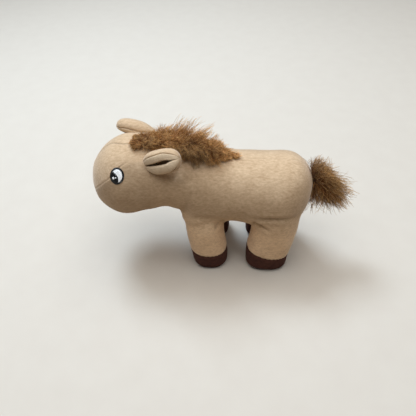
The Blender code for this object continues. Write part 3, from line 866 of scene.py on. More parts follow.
def line_distance(points: np.ndarray, line: np.ndarray) -> tuple[np.ndarray, np.ndarray]:
    """How far points are from a line of points, and how far along it.

    Args:
        points: the points to measure.
        line: the line's own points.

    Returns:
        The distance of each point, and its share of the line's length.
    """
    best = np.full(len(points), np.inf)
    share = np.zeros(len(points))
    for index, (start, end) in enumerate(zip(line, line[1:])):
        span = end - start
        part = np.clip(((points - start) @ span) / (span @ span), 0, 1)
        gap = np.linalg.norm(points - start - part[:, None] * span, axis=1)
        near = gap < best
        best[near] = gap[near]
        share[near] = (index + part[near]) / (len(line) - 1)
    return best, share


@dataclass(frozen=True)
class Fullness:
    """An egg of filling that swells the cloth on both sides, in millimetres."""

    centre: tuple[float, float, float]
    radii: tuple[float, float, float]


@dataclass(frozen=True)
class Stuffing:
    """The filling that presses the sewn skin out, as a cloth simulation under pressure.

    The solver is made for things a metre or two long, so it works on an enlarged skin.
    """

    enlarged: float = 10.0
    pressure: float = 4.0
    frames: int = 10
    stretch_stiffness: float = 15.0
    shear_stiffness: float = 5.0
    bending_stiffness: float = 0.5

    def fill(self, sewn: bpy.types.Mesh) -> bpy.types.Mesh:
        """Fills a closed skin.

        Args:
            sewn: the empty skin, which is removed.

        Returns:
            The filled skin.
        """
        sewn.transform(Matrix.Scale(self.enlarged, 4))
        filled = evaluated_mesh(sewn, self.dress, self.frames)
        bpy.context.scene.frame_set(1)
        filled.transform(Matrix.Scale(1 / self.enlarged, 4))
        return filled

    def dress(self, helper: bpy.types.Object) -> None:
        """Makes the skin a cloth with the filling's pressure inside and no weight."""
        cloth = helper.modifiers.new("stuffing", "CLOTH")
        cloth.point_cache.frame_start, cloth.point_cache.frame_end = 1, self.frames
        cloth.collision_settings.use_collision = False
        settings = cloth.settings
        settings.quality = 5
        settings.tension_stiffness = settings.compression_stiffness = self.stretch_stiffness
        settings.shear_stiffness = self.shear_stiffness
        settings.bending_stiffness = self.bending_stiffness
        settings.use_pressure = True
        settings.uniform_pressure_force = self.pressure
        settings.effector_weights.gravity = 0


@dataclass
class Skin:
    """The horse's whole sewn skin, stuffed tight, before it is parted into pieces."""

    body: BodyForm
    legs: list[LegForm]
    stuffing: Stuffing = Stuffing()
    grow: float = 0.45 * MM
    voxel: float = 2.0 * MM
    smoothing: int = 5
    lump_height: float = 0.16 * MM
    lump_lengths: tuple[float, ...] = (0.034, 0.026, 0.019, 0.015, 0.012, 0.0095)
    lump_full_length: float = 0.019  # a wave of this length counts in full, a longer one more
    lump_waves: int = 4  # of each length
    lump_sum: float = 4.5  # what the waves together come to
    nap_shade: float = 0.22  # painted shade on the head's side panels, under the overhanging brow
    face_drift: float = 4.0 * MM  # the face's middle seam runs to the left by the mane
    fullness: tuple[Fullness, ...] = (Fullness((-13.0, 13.0, 46.5), (11.8, 11.5, 12.5)),)
    gusset_half_width: float = 12.0 * MM
    sole_seam_z: float = 2.4 * MM
    brow_length_mm: float = 90.0
    brow_stitching: Stitching = Stitching(0.20 * MM, 0.48 * MM, darkness=0.48)
    middle_stitching: Stitching = Stitching(0.30 * MM, 0.55 * MM, darkness=0.55)
    gusset_stitching: Stitching = Stitching()
    band_stitching: Stitching = Stitching(0.40 * MM, 0.8 * MM, darkness=0.35)
    sole_stitching: Stitching = Stitching(0.22 * MM, 0.6 * MM, darkness=0.3)
    seed: int = 7

    def build(self) -> None:
        """Makes the skin: one closed mesh with seams, creases and lumps."""
        sewn = evaluated_mesh(self.pattern(), self.join_and_soften)
        mesh = evaluated_mesh(self.stuffing.fill(sewn), self.refine)
        count = len(mesh.vertices)
        points, normals = np.empty(count * 3), np.empty(count * 3)
        mesh.vertices.foreach_get("co", points)
        mesh.vertices.foreach_get("normal", normals)
        points, normals = points.reshape(-1, 3), normals.reshape(-1, 3)
        self.tree = self.tree_of(mesh)
        move, dark = self.sculpt(points)
        points += normals * move[:, None]
        points[:, 2] = np.maximum(points[:, 2], 0)
        mesh.vertices.foreach_set("co", points.ravel())
        # the painted shade of seams, creases and cheeks, which the fleece reads as its crease colour
        crease = mesh.attributes.new("crease", "FLOAT", "POINT")
        crease.data.foreach_set("value", dark.astype(np.float32))
        mesh.update()
        self.tree = self.tree_of(mesh)
        self.mesh = mesh
        LOG.info("skin: %d faces", len(mesh.polygons))

    def pattern(self) -> bpy.types.Mesh:
        """The body and the legs as overlapping closed forms."""
        bm = bmesh.new()
        loft(bm, [ring.outline(self.body.sides) for ring in self.body.rings(self.grow)])
        for leg in self.legs:
            loft(bm, [ring.outline(leg.sides) for ring in leg.rings(self.grow)])
        for egg in self.fullness:
            for side in Side:
                x, y, z = egg.centre
                place = Matrix.Translation(Vector((x, side.value * y, z)) * MM)
                size = Matrix.Diagonal((*(radius * MM for radius in egg.radii), 1))
                bmesh.ops.create_icosphere(bm, subdivisions=4, radius=1, matrix=place @ size)
        bmesh.ops.recalc_face_normals(bm, faces=bm.faces)
        return mesh_of("skin_pattern", bm)

    def join_and_soften(self, helper: bpy.types.Object) -> None:
        """Gives the overlapping forms one skin with soft inner corners."""
        remesh = helper.modifiers.new("one_skin", "REMESH")
        remesh.mode = "VOXEL"
        remesh.voxel_size = self.voxel
        smooth = helper.modifiers.new("soft_corners", "SMOOTH")
        smooth.factor = 0.5
        smooth.iterations = self.smoothing

    @staticmethod
    def refine(helper: bpy.types.Object) -> None:
        """Gives the filled skin faces small enough for its seams."""
        smooth = helper.modifiers.new("evened", "SMOOTH")
        smooth.iterations = 1
        fine = helper.modifiers.new("fine", "SUBSURF")
        fine.levels = fine.render_levels = 2

    @staticmethod
    def tree_of(mesh: bpy.types.Mesh) -> BVHTree:
        """A tree for finding the nearest place on a mesh."""
        bm = bmesh.new()
        bm.from_mesh(mesh)
        tree = BVHTree.FromBMesh(bm)
        bm.free()
        return tree

    def sculpt(self, points: np.ndarray) -> tuple[np.ndarray, np.ndarray]:
        """Works out seams, creases and lumps.

        Args:
            points: the skin's points.

        Returns:
            The move along the normal and the painted shade of each point.
        """
        move, dark = self.lumps(points), np.zeros(len(points))
        for pressed, darkened in [*self.seams(points), *self.folds(points)]:
            move += pressed
            dark = np.maximum(dark, darkened)
        return move, np.clip(dark, 0, 1)

    def lumps(self, points: np.ndarray) -> np.ndarray:
        """Soft unevenness of the filling under the cloth."""
        rng = np.random.default_rng(self.seed)
        total = np.zeros(len(points))
        for length in self.lump_lengths:
            for _ in range(self.lump_waves):
                way = turned(rng.normal(size=3))
                phase = rng.uniform(0, FULL_TURN)
                wave = np.sin(points @ way * FULL_TURN / length + phase)
                total += wave * length / self.lump_full_length
        clear_of_soles = step_mm(points[:, 2], 0.5, 4)
        return total * self.lump_height / self.lump_sum * clear_of_soles

    def cheek_shade(self, x: np.ndarray, z: np.ndarray, seam: np.ndarray) -> np.ndarray:
        """The painted shade on a side panel of the head, under the brow, which fades out down the neck.

        Args:
            x: each point's place along the horse.
            z: its height.
            seam: the points of the seam over the panel.

        Returns:
            The painted shade of each point.
        """
        below = np.interp(x, seam[:, 0], seam[:, 2]) - z
        panel = step_mm(below, 0.3, 2.0) * step_mm(x, -84, -78)
        panel = panel * (0.6 + 0.4 * step_mm(below, 12, 4))
        return self.nap_shade * panel * step_mm(x, -34, -48)

    def seams(self, points: np.ndarray) -> Iterable[tuple[np.ndarray, np.ndarray]]:
        """The move and painted shade of each seam, and the painted shade of each cheek."""
        x, y, z = points.T
        for side in Side:
            seam = self.on_skin(BROW_SEAM, side)
            # painted shade on the cheek, under the brow
            yield 0, self.cheek_shade(x, z, seam)
            off, share = line_distance(points, seam)
            felt = smooth_step(share, 0.92, 0.70) * (0.55 + 0.45 * smooth_step(share, 0.45, 0.55))
            yield self.brow_stitching.press(off, share * self.brow_length_mm * MM, felt)
        over_legs = step_mm(z, 32, 34)
        gusset = step_mm(x, -20, -14) * step_mm(x, 60, 56) * step_mm(z, 60, 52)
        face_and_back = step_mm(x, -48, -50) + step_mm(x, 18, 22) * 0.2
        middle = np.where(z > 62 * MM, face_and_back, 0.6 * (1 - gusset)) * over_legs
        drift = self.face_drift * step_mm(x, -70, -58) * (x < 0) * (z > 80 * MM)
        yield self.middle_stitching.press(y + drift, x + z, middle)
        belly = gusset * over_legs * step_mm(z, 46, 43) * 0.7
        yield self.gusset_stitching.press(np.abs(y) - self.gusset_half_width, x, belly)
        for leg in self.legs:
            place, way = leg.band
            off = (points - np.array(place)) @ np.array(way)
            own = step_mm(z, 26, 23) * (y * leg.side.value > 0)
            own = own * ((x < LEGS_PART) if leg.end is End.FRONT else (x >= LEGS_PART))
            yield self.band_stitching.press(off, x + y, own)
            yield self.sole_stitching.press(z - self.sole_seam_z, x + y, own)

    def folds(self, points: np.ndarray) -> Iterable[tuple[np.ndarray, np.ndarray]]:
        """The move and painted shade of each crease, on both sides."""
        for crease in CREASES:
            for side in Side:
                yield crease.press(*line_distance(points, self.on_skin(crease.line, side)))

    def on_skin(self, line: Sequence[Sequence[float]], side: Side, steps: int = 4) -> np.ndarray:
        """A smooth line over the skin.

        Args:
            line: its points in millimetres, on the left side.
            side: the side that it is wanted on.
            steps: how many stretches lie between two of its points.

        Returns:
            Points on the skin, one row each.
        """
        line = [line[0], *line, line[-1]]
        places = []
        for index in range(1, len(line) - 2):
            four = line[index - 1 : index + 3]
            for step in range(steps):
                places.append([BodyForm.curve(values, step / steps) for values in zip(*four)])
        places.append(line[-1])
        places = [Vector((x, -side.value * y, z)) * MM for x, y, z in places]
        return np.array([self.tree.find_nearest(place)[0] for place in places])

    def drop(self, place: Vector, way: Vector) -> Vector:
        """The place where a line from a point meets the skin, or the nearest place."""
        hit = self.tree.ray_cast(place, way)[0]
        return hit if hit else self.tree.find_nearest(place)[0]

    def push_out(self, points: np.ndarray, gaps: np.ndarray) -> np.ndarray:
        """Moves points out of the skin.

        Args:
            points: the points, one row each.
            gaps: how far outside the skin each has to be.

        Returns:
            The points, moved where they were too near.
        """
        moved = points.copy()
        for index, (point, gap) in enumerate(zip(points, gaps)):
            place, normal, _, _ = self.tree.find_nearest(point)
            short = gap - (Vector(point) - place).dot(normal)
            if short > 0:
                moved[index] += np.array(normal) * short
        return moved


# Parting the skin


@dataclass
class SkinPieces:
    """Parts the skin where the toy bends and where its cloth changes colour."""

    skin: Skin
    fill: float = 0.85
    neck_cut_low: float = 30 * MM  # the neck's cut is made over this height
    middle_cut_top: float = 36 * MM  # the legs are parted along the middle under this height
    cut_reach: float = 2 * MM  # a cut looks at faces this near to it
    cut_merge: float = 1e-7
    legs_top: float = 40 * MM  # no leg's face lies over this height

    @staticmethod
    def plane(distance: float) -> Vector:
        """A point on the neck's line, so far ahead of its bend."""
        return NECK + NECK_AHEAD * distance

    def build(self, fleece: bpy.types.Material, brown: bpy.types.Material) -> None:
        """Makes the head, torso, leg and hoof pieces, and joins the torso and each hoof to its body.

        Args:
            fleece: the beige cloth.
            brown: the hooves' cloth.
        """
        bm = bmesh.new()
        bm.from_mesh(self.skin.mesh)
        self.part(bm)
        names = self.label(bm)
        bpy.data.meshes.remove(self.skin.mesh)
        head = self.take(bm, names, "head_skin", fleece)
        start, end = (self.plane(distance) + SHIFT for distance in NECK_BEND)
        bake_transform(head)
        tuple(start)
        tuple(end)
        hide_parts("head_side_left", "head_side_right", "brow_left", "brow_right")
        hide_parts("head_stuffing")
        torso = self.take(bm, names, "torso_skin", fleece)
        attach(torso, "torso")
        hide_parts("torso_side_left", "torso_side_right", "belly_gusset", "torso_stuffing")
        for leg in self.skin.legs:
            upper = self.take(bm, names, f"leg_skin_{leg.name}", fleece)
            f"leg_{leg.name}"
            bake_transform(upper)
            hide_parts(f"leg_cover_{leg.name}", f"leg_stuffing_{leg.name}")
            hoof = self.take(bm, names, f"hoof_skin_{leg.name}", brown)
            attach(hoof, f"leg_{leg.name}")
            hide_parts(f"hoof_cover_{leg.name}", f"hoof_sole_{leg.name}")
        bm.free()

    def part(self, bm: bmesh.types.BMesh) -> None:
        """Cuts the skin along each border between pieces."""
        normals = bm.verts.layers.float_vector.new("skin_normal")
        bm.normal_update()
        for vert in bm.verts:
            vert[normals] = vert.normal
        cuts = [(self.plane(NECK_BEND[0]), NECK_AHEAD, lambda c: c.z > self.neck_cut_low)]
        for leg in self.skin.legs:
            own = self.belongs(leg)
            cuts.append((Vector((0, 0, leg.skin_top * MM)), UP, own))
            cuts.append((*leg.band, own))
        cuts.append((Vector(), RIGHT, lambda c: c.z < self.middle_cut_top))
        for place, way, wanted in cuts:
            faces = [
                face
                for face in bm.faces
                if abs((face.calc_center_median() - place).dot(way)) < self.cut_reach
                and wanted(face.calc_center_median())
            ]
            edges = {edge for face in faces for edge in face.edges}
            verts = {vert for face in faces for vert in face.verts}
            cut = [*faces, *edges, *verts]
            bmesh.ops.bisect_plane(
                bm, geom=cut, dist=self.cut_merge, plane_co=place, plane_no=way
            )

    @staticmethod
    def belongs(leg: LegForm) -> Callable[[Vector], bool]:
        """A test of whether a place is on this leg's side and end of the horse."""

        def test(place: Vector) -> bool:
            """Whether the place is near this leg."""
            ahead = place.x < LEGS_PART
            return place.y * leg.side.value > 0 and ahead == (leg.end is End.FRONT)

        return test

    def label(self, bm: bmesh.types.BMesh) -> list[str]:
        """Writes on each face which piece it belongs to.

        Args:
            bm: the parted skin.

        Returns:
            The pieces' names, in the order of their numbers.
        """
        names = ["torso_skin", "head_skin"]
        for leg in self.skin.legs:
            names += [f"leg_skin_{leg.name}", f"hoof_skin_{leg.name}"]
        tests = [(leg, self.belongs(leg)) for leg in self.skin.legs]
        number = bm.faces.layers.int.new("piece")
        neck = self.plane(NECK_BEND[0])
        for face in bm.faces:
            centre = face.calc_center_median()
            face[number] = int((centre - neck).dot(NECK_AHEAD) > 0)
            if centre.z > self.legs_top:
                continue
            for index, (leg, test) in enumerate(tests):
                if centre.z < leg.skin_top * MM and test(centre):
                    place, way = leg.band
                    face[number] = 2 + 2 * index + int((centre - place).dot(way) < 0)
        return names

    def take(
        self, source: bmesh.types.BMesh, names: list[str], name: str, cloth: bpy.types.Material
    ) -> bpy.types.Object:
        """One piece of the parted skin, closed at its cuts.

        Args:
            source: the parted and labelled skin.
            names: the pieces' names in the order of their numbers.
            name: the wanted piece.
            cloth: its material.

        Returns:
            The piece.
        """
        bm = source.copy()
        number = bm.faces.layers.int["piece"]
        wanted = names.index(name)
        others = [face for face in bm.faces if face[number] != wanted]
        bmesh.ops.delete(bm, geom=others, context="FACES")
        rim = [edge for edge in bm.edges if edge.is_boundary]
        bmesh.ops.holes_fill(bm, edges=rim, sides=0)
        bmesh.ops.translate(bm, verts=bm.verts, vec=SHIFT)
        mesh = mesh_of(name, bm)
        normals = np.empty(len(mesh.vertices) * 3, np.float32)
        mesh.attributes["skin_normal"].data.foreach_get("vector", normals)
        for extra in ("skin_normal", "piece"):
            mesh.attributes.remove(mesh.attributes[extra])
        piece = add_piece(name, mesh, cloth)
        mesh.normals_split_custom_set_from_vertices(normals.reshape(-1, 3))
        report(piece)
        return piece


# Ears


class EarLayer(Enum):
    """The two cloths of an ear."""

    OUTER = "ear_outer"
    LINING = "ear_lining"


@dataclass(frozen=True)
class EarSection:
    """A section of an ear: how far along it is, its size as shares of the ear's, and its fold."""

    share: float
    width: float
    depth: float
    fold: float  # degrees from the middle of its back to its rolled-in rim


@dataclass
class Ear:
    """One folded ear: an outer cloth and a lining that rolls out over its lips."""

    side: Side
    skin: Skin
    lift: float
    yaw: float = 0.0
    root_x: float = -44.2 * MM
    root_z: float = 71.8 * MM
    root_turn: float = math.radians(42)
    length: float = 25.0 * MM
    half_width: float = 7.7 * MM
    half_depth: float = 6.0 * MM
    seat: float = 1.9 * MM
    wall: float = 1.4 * MM
    lining_wall: float = 1.0 * MM
    slit_turns: tuple[float, float] = (0.0, 0.0)  # degrees that the slit faces down, root and tip
    lip_backs: tuple[float, float] = (40.0, 62.0)  # degrees from slit to rim, upper and lower lip
    lip_roll: float = 0.24
    lip_roll_start: float = math.radians(118)
    lining_gap: float = 0.1 * MM
    lip_gap: float = math.radians(2.0)
    thick_from: float = 0.6  # sections less deep than this share have thinner walls
    sections: tuple[EarSection, ...] = (
        EarSection(-0.07, 0.54, 0.38, 175.0),
        EarSection(0.00, 0.64, 0.50, 174.6),
        EarSection(0.07, 0.80, 0.64, 174.2),
        EarSection(0.15, 0.92, 0.78, 173.8),
        EarSection(0.25, 0.98, 0.90, 173.4),
        EarSection(0.36, 1.00, 0.98, 172.6),
        EarSection(0.48, 1.00, 1.00, 171.4),
        EarSection(0.60, 0.99, 1.00, 169.8),
        EarSection(0.71, 0.96, 0.96, 170.2),
        EarSection(0.80, 0.90, 0.89, 178.0),
        EarSection(0.88, 0.79, 0.77, 179.6),
        EarSection(0.94, 0.62, 0.61, 179.6),
        EarSection(0.98, 0.42, 0.42, 179.6),
        EarSection(1.00, 0.18, 0.18, 179.6),
    )

    def frame(self) -> None:
        """Works out where the ear is sewn on, how it points and how it opens."""
        turn = self.side.value * self.root_turn
        out = Vector((0, math.sin(turn), math.cos(turn)))
        root = self.skin.drop(Vector((self.root_x, 0, self.root_z)), out)
        self.base = root + out * (self.seat - self.skin.grow)
        inward = out.cross(BACK) * -self.side.value
        run = BACK * math.cos(self.yaw) + inward * math.sin(self.yaw)
        self.along = run * math.cos(self.lift) + out * math.sin(self.lift)
        self.facing = out * math.cos(self.lift) - run * math.sin(self.lift)

    def point(self, section: EarSection, turn: float, inset: float) -> Vector:
        """A place on a section of the ear.

        Args:
            section: the section.
            turn: the angle round the fold from the middle of its back.
            inset: how far inside the outer face.

        Returns:
            The place.
        """
        half_width = self.half_width * section.width
        half_depth = self.half_depth * section.depth
        root_turn, tip_turn = self.slit_turns
        down = math.radians(root_turn + (tip_turn - root_turn) * section.share)
        opening = Matrix.Rotation(-self.side.value * down, 3, self.along) @ self.facing
        roll = 1 - self.lip_roll * float(smooth_step(abs(turn), self.lip_roll_start, math.pi))
        inset = min(inset, 0.8 * half_depth)
        side = self.along.cross(opening) * (half_width - inset) * math.sin(turn)
        depth = opening * (half_depth - inset) * math.cos(turn) * roll
        middle = self.base + self.along * self.length * section.share
        return middle + side - depth

    def outline(self, section: EarSection, layer: EarLayer) -> list[Vector]:
        """The closed outline of one cloth at a section.

        Args:
            section: the section.
            layer: which cloth.

        Returns:
            Points from lip to lip over the outer face, and back inside.
        """
        lip = math.radians(section.fold)
        upper, lower = (lip - math.radians(back) for back in self.lip_backs)
        thin = min(1.0, section.depth / self.thick_from)
        wall, lining = self.wall * thin, self.lining_wall * thin
        if layer is EarLayer.OUTER:
            turns = np.linspace(-upper, lower, 26)
            outer = [self.point(section, turn, 0) for turn in turns]
            inner = [self.point(section, turn, wall) for turn in turns]
            return outer + inner[::-1]
        low = wall + self.lining_gap
        high_lip = [*np.linspace(-lip, -upper - self.lip_gap, 6)]
        middle = [*np.linspace(-upper, lower, 20)]
        low_lip = [*np.linspace(lower + self.lip_gap, lip, 6)]
        turns = [*high_lip, *middle, *low_lip]
        insets = [0] * len(high_lip) + [low] * len(middle) + [0] * len(low_lip)
        outer = [self.point(section, turn, inset) for turn, inset in zip(turns, insets)]
        inner = [self.point(section, turn, low + lining) for turn in turns]
        return outer + inner[::-1]

    def build(self, outer: bpy.types.Material, lining: bpy.types.Material) -> None:
        """Makes both cloths of the ear.

        Args:
            outer: the body's cloth.
            lining: the lining's cloth.
        """
        self.frame()
        for layer, cloth, slot in (
            (EarLayer.OUTER, outer, "beige_fleece"),
            (EarLayer.LINING, lining, "ear_lining"),
        ):
            bm = bmesh.new()
            loft(bm, [self.outline(section, layer) for section in self.sections])
            bmesh.ops.recalc_face_normals(bm, faces=bm.faces)
            bmesh.ops.translate(bm, verts=bm.verts, vec=SHIFT)
            name = f"{layer.value}_folded_{self.side.word}"
            mesh = evaluated_mesh(mesh_of(name, bm), self.soften)
            piece = add_piece(name, mesh, cloth)
            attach(piece, f"ear_{self.side.word}")
            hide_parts(f"{layer.value}_{self.side.word}")
            report(piece)

    @staticmethod
    def soften(helper: bpy.types.Object) -> None:
        """Rounds the cloth's edges."""
        fine = helper.modifiers.new("soft_edges", "SUBSURF")
        fine.levels = fine.render_levels = 2


# Eyes


@dataclass
class Eye:
    """One embroidered eye: rows of satin stitch in black and white."""

    side: Side
    skin: Skin
    half_length: float = 4.6 * MM
    half_height: float = 5.3 * MM
    ring_width: float = 1.15 * MM
    roll: float = math.radians(-12)
    raised: float = 1.5 * MM
    turn: float = math.radians(58)
    ring_slant: float = 0.10
    ring_height: float = 0.15 * MM
    white_slant: float = 0.4
    white_height: float = 0.28 * MM
    pupil_slant: float = 1.2
    pupil_height: float = 0.5 * MM
    pupil_radius: float = 4.6 * MM
    pupil_place: tuple[float, float] = (-3.05 * MM, -2.7 * MM)
    glint_place: tuple[float, float] = (-1.95 * MM, -1.75 * MM)
    glint_radius: float = 0.75 * MM
    spark_place: tuple[float, float] = (-0.45 * MM, -1.2 * MM)
    spark_radius: float = 0.27 * MM
    glint_slant: float = 0.5
    glint_height: float = 0.85 * MM
    thread: float = 0.2 * MM
    spacing: float = 0.34 * MM
    stitch_points: int = 7
    over: float = 6 * MM  # a stitch is dropped on the skin from this high
    pad_sides: int = 28
    # the pad's size at each level as a share of the oval, and its height as one of the threads'
    pad_levels: tuple[tuple[float, float], ...] = (
        (0.01, -0.3), (0.9, -0.3), (0.97, 0.2), (0.8, 0.7), (0.4, 0.8), (0.01, 0.8),
    )

    def build(self, black: bpy.types.Material, white: bpy.types.Material) -> None:
        """Makes the ring, the white, the pupil and the glint.

        Args:
            black: the black thread.
            white: the white thread.
        """
        word = self.side.word
        low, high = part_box(f"eye_ring_{word}")
        turn = self.side.value * self.turn
        self.out = Vector((0, math.sin(turn), math.cos(turn)))
        rise = (UP - self.out * UP.dot(self.out)).normalized()
        self.rise = Matrix.Rotation(self.side.value * -self.roll, 3, self.out) @ rise
        self.back = self.rise.cross(self.out) * self.side.value
        if self.back.x < 0:
            self.back.negate()
        self.centre = (low + high) / 2 - SHIFT + self.rise * self.raised
        middle = (0, 0)
        full = (self.half_length, self.half_height)
        inner = (self.half_length - self.ring_width, self.half_height - self.ring_width)
        pupil = (self.pupil_radius, self.pupil_radius)
        glint = (self.glint_radius, self.glint_radius)
        spark = (self.spark_radius, self.spark_radius)
        ring_lines = self.radial(full, inner)
        white_lines = self.rows(inner, middle, self.white_slant)
        pupil_lines = self.rows(pupil, self.pupil_place, self.pupil_slant)
        glint_lines = self.rows(glint, self.glint_place, self.glint_slant)
        glint_lines += self.rows(spark, self.spark_place, self.glint_slant)
        parts = (
            ("ring", black, "black_thread", ring_lines, middle, full, self.ring_height),
            ("white", white, "white_thread", white_lines, middle, inner, self.white_height),
            ("pupil", black, "black_thread", pupil_lines, self.pupil_place, pupil, self.pupil_height),
            ("glint", white, "white_thread", glint_lines, self.glint_place, glint, self.glint_height),
        )
        for part, thread, slot, lines, place, sizes, height in parts:
            name = f"eye_{part}_stitches_{word}"
            piece = add_piece(name, self.stitches(lines, place, sizes, height), thread)
            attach(piece, "head")
            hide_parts(f"eye_{part}_{word}")
            report(piece)

    def radial(
        self, full: tuple[float, float], inner: tuple[float, float]
    ) -> list[list[tuple[float, float]]]:
        """Stitches across the ring, from its inner edge to its outer edge."""
        count = int(FULL_TURN * (full[0] + full[1]) / 2 / self.spacing)
        lines = []
        for step in range(count):
            turn = FULL_TURN * step / count
            ends = []
            for sizes, slant in ((inner, -self.ring_slant), (full, self.ring_slant)):
                ends.append((sizes[0] * math.cos(turn + slant), sizes[1] * math.sin(turn + slant)))
            lines.append(ends)
        return lines

    def rows(
        self, sizes: tuple[float, float], place: tuple[float, float], way: float
    ) -> list[list[tuple[float, float]]]:
        """Parallel stitches that fill an oval, kept inside the ring.

        Args:
            sizes: the oval's half-axes.
            place: its centre on the eye.
            way: the angle that the stitches lie at.

        Returns:
            The two ends of each stitch.
        """
        along = np.array((math.cos(way), math.sin(way)))
        aside = np.array((-along[1], along[0]))
        limit = np.array((self.half_length, self.half_height)) - 0.45 * self.ring_width
        count = max(int(2 * max(sizes) / self.spacing), 3)
        lines = []
        for step in range(count):
            offset = max(sizes) * (2 * (step + 0.5) / count - 1)
            line = aside * offset + np.outer(np.linspace(-1, 1, 161), along * max(sizes))
            inside = ((line / np.array(sizes)) ** 2).sum(axis=1) < 1
            line = line + np.array(place)
            inside &= ((line / limit) ** 2).sum(axis=1) < 1
            kept = line[inside]
            if len(kept) > 3:
                lines.append([tuple(kept[0]), tuple(kept[-1])])
        return lines

    def on_skin(self, x: float, y: float, height: float) -> Vector:
        """A place on the eye, in its own directions, at a height over the skin."""
        place = self.centre + self.back * x + self.rise * y + self.out * self.over
        return self.skin.drop(place, -self.out) + self.out * height

    def stitches(
        self,
        lines: list[list[tuple[float, float]]],
        place: tuple[float, float],
        sizes: tuple[float, float],
        height: float,
    ) -> bpy.types.Mesh:
        """The threads of one colour, on a pad that fills the gaps between them.

        Args:
            lines: the two ends of each stitch.
            place: the pad's centre on the eye.
            sizes: the pad's half-axes.
            height: the threads' height over the skin.

        Returns:
            The mesh, in the frame.
        """
        curve = bpy.data.curves.new("threads", "CURVE")
        curve.dimensions = "3D"
        curve.bevel_depth = self.thread
        curve.bevel_resolution = 1
        curve.use_fill_caps = True
        for start, end in lines:
            spline = curve.splines.new("POLY")
            shares = np.linspace(0, 1, self.stitch_points)
            spline.points.add(len(shares) - 1)
            for point, share in zip(spline.points, shares):
                x, y = (a + (b - a) * share for a, b in zip(start, end))
                lift = height * (0.45 + 0.55 * math.sin(math.pi * share) ** 0.5)
                point.co = (*self.on_skin(x, y, lift), 1)
        threads = evaluated_mesh(curve)
        bm = bmesh.new()
        bm.from_mesh(threads)
        bpy.data.meshes.remove(threads)
        loft(bm, self.pad(place, sizes, height))
        bmesh.ops.recalc_face_normals(bm, faces=bm.faces)
        bmesh.ops.translate(bm, verts=bm.verts, vec=SHIFT)
        return mesh_of("stitches", bm)

    def pad(
        self, place: tuple[float, float], sizes: tuple[float, float], height: float
    ) -> list[list[Vector]]:
        """Outlines of the pad under the threads, from its underside to its top."""
        limit = (self.half_length - 0.4 * self.ring_width, self.half_height - 0.4 * self.ring_width)
        outlines = []
        for size, rise in self.pad_levels:
            outline = []
            for step in range(self.pad_sides):
                turn = FULL_TURN * step / self.pad_sides
                x = place[0] + sizes[0] * size * math.cos(turn)
                y = place[1] + sizes[1] * size * math.sin(turn)
                over = math.hypot(x / limit[0], y / limit[1])
                if over > 1:
                    x, y = x / over, y / over
                outline.append(self.on_skin(x, y, height * rise))
            outlines.append(outline)
        return outlines


# Long pile


@dataclass(frozen=True)
class Locks:
    """How strands of pile are drawn: their count, crimp and lock."""

    strands: int
    points: int
    root_radius: float
    tip_radius: float
    frizz: float
    crimp: float
    droop: float
    lock_count: int
    lock_pull: float
    seed: int


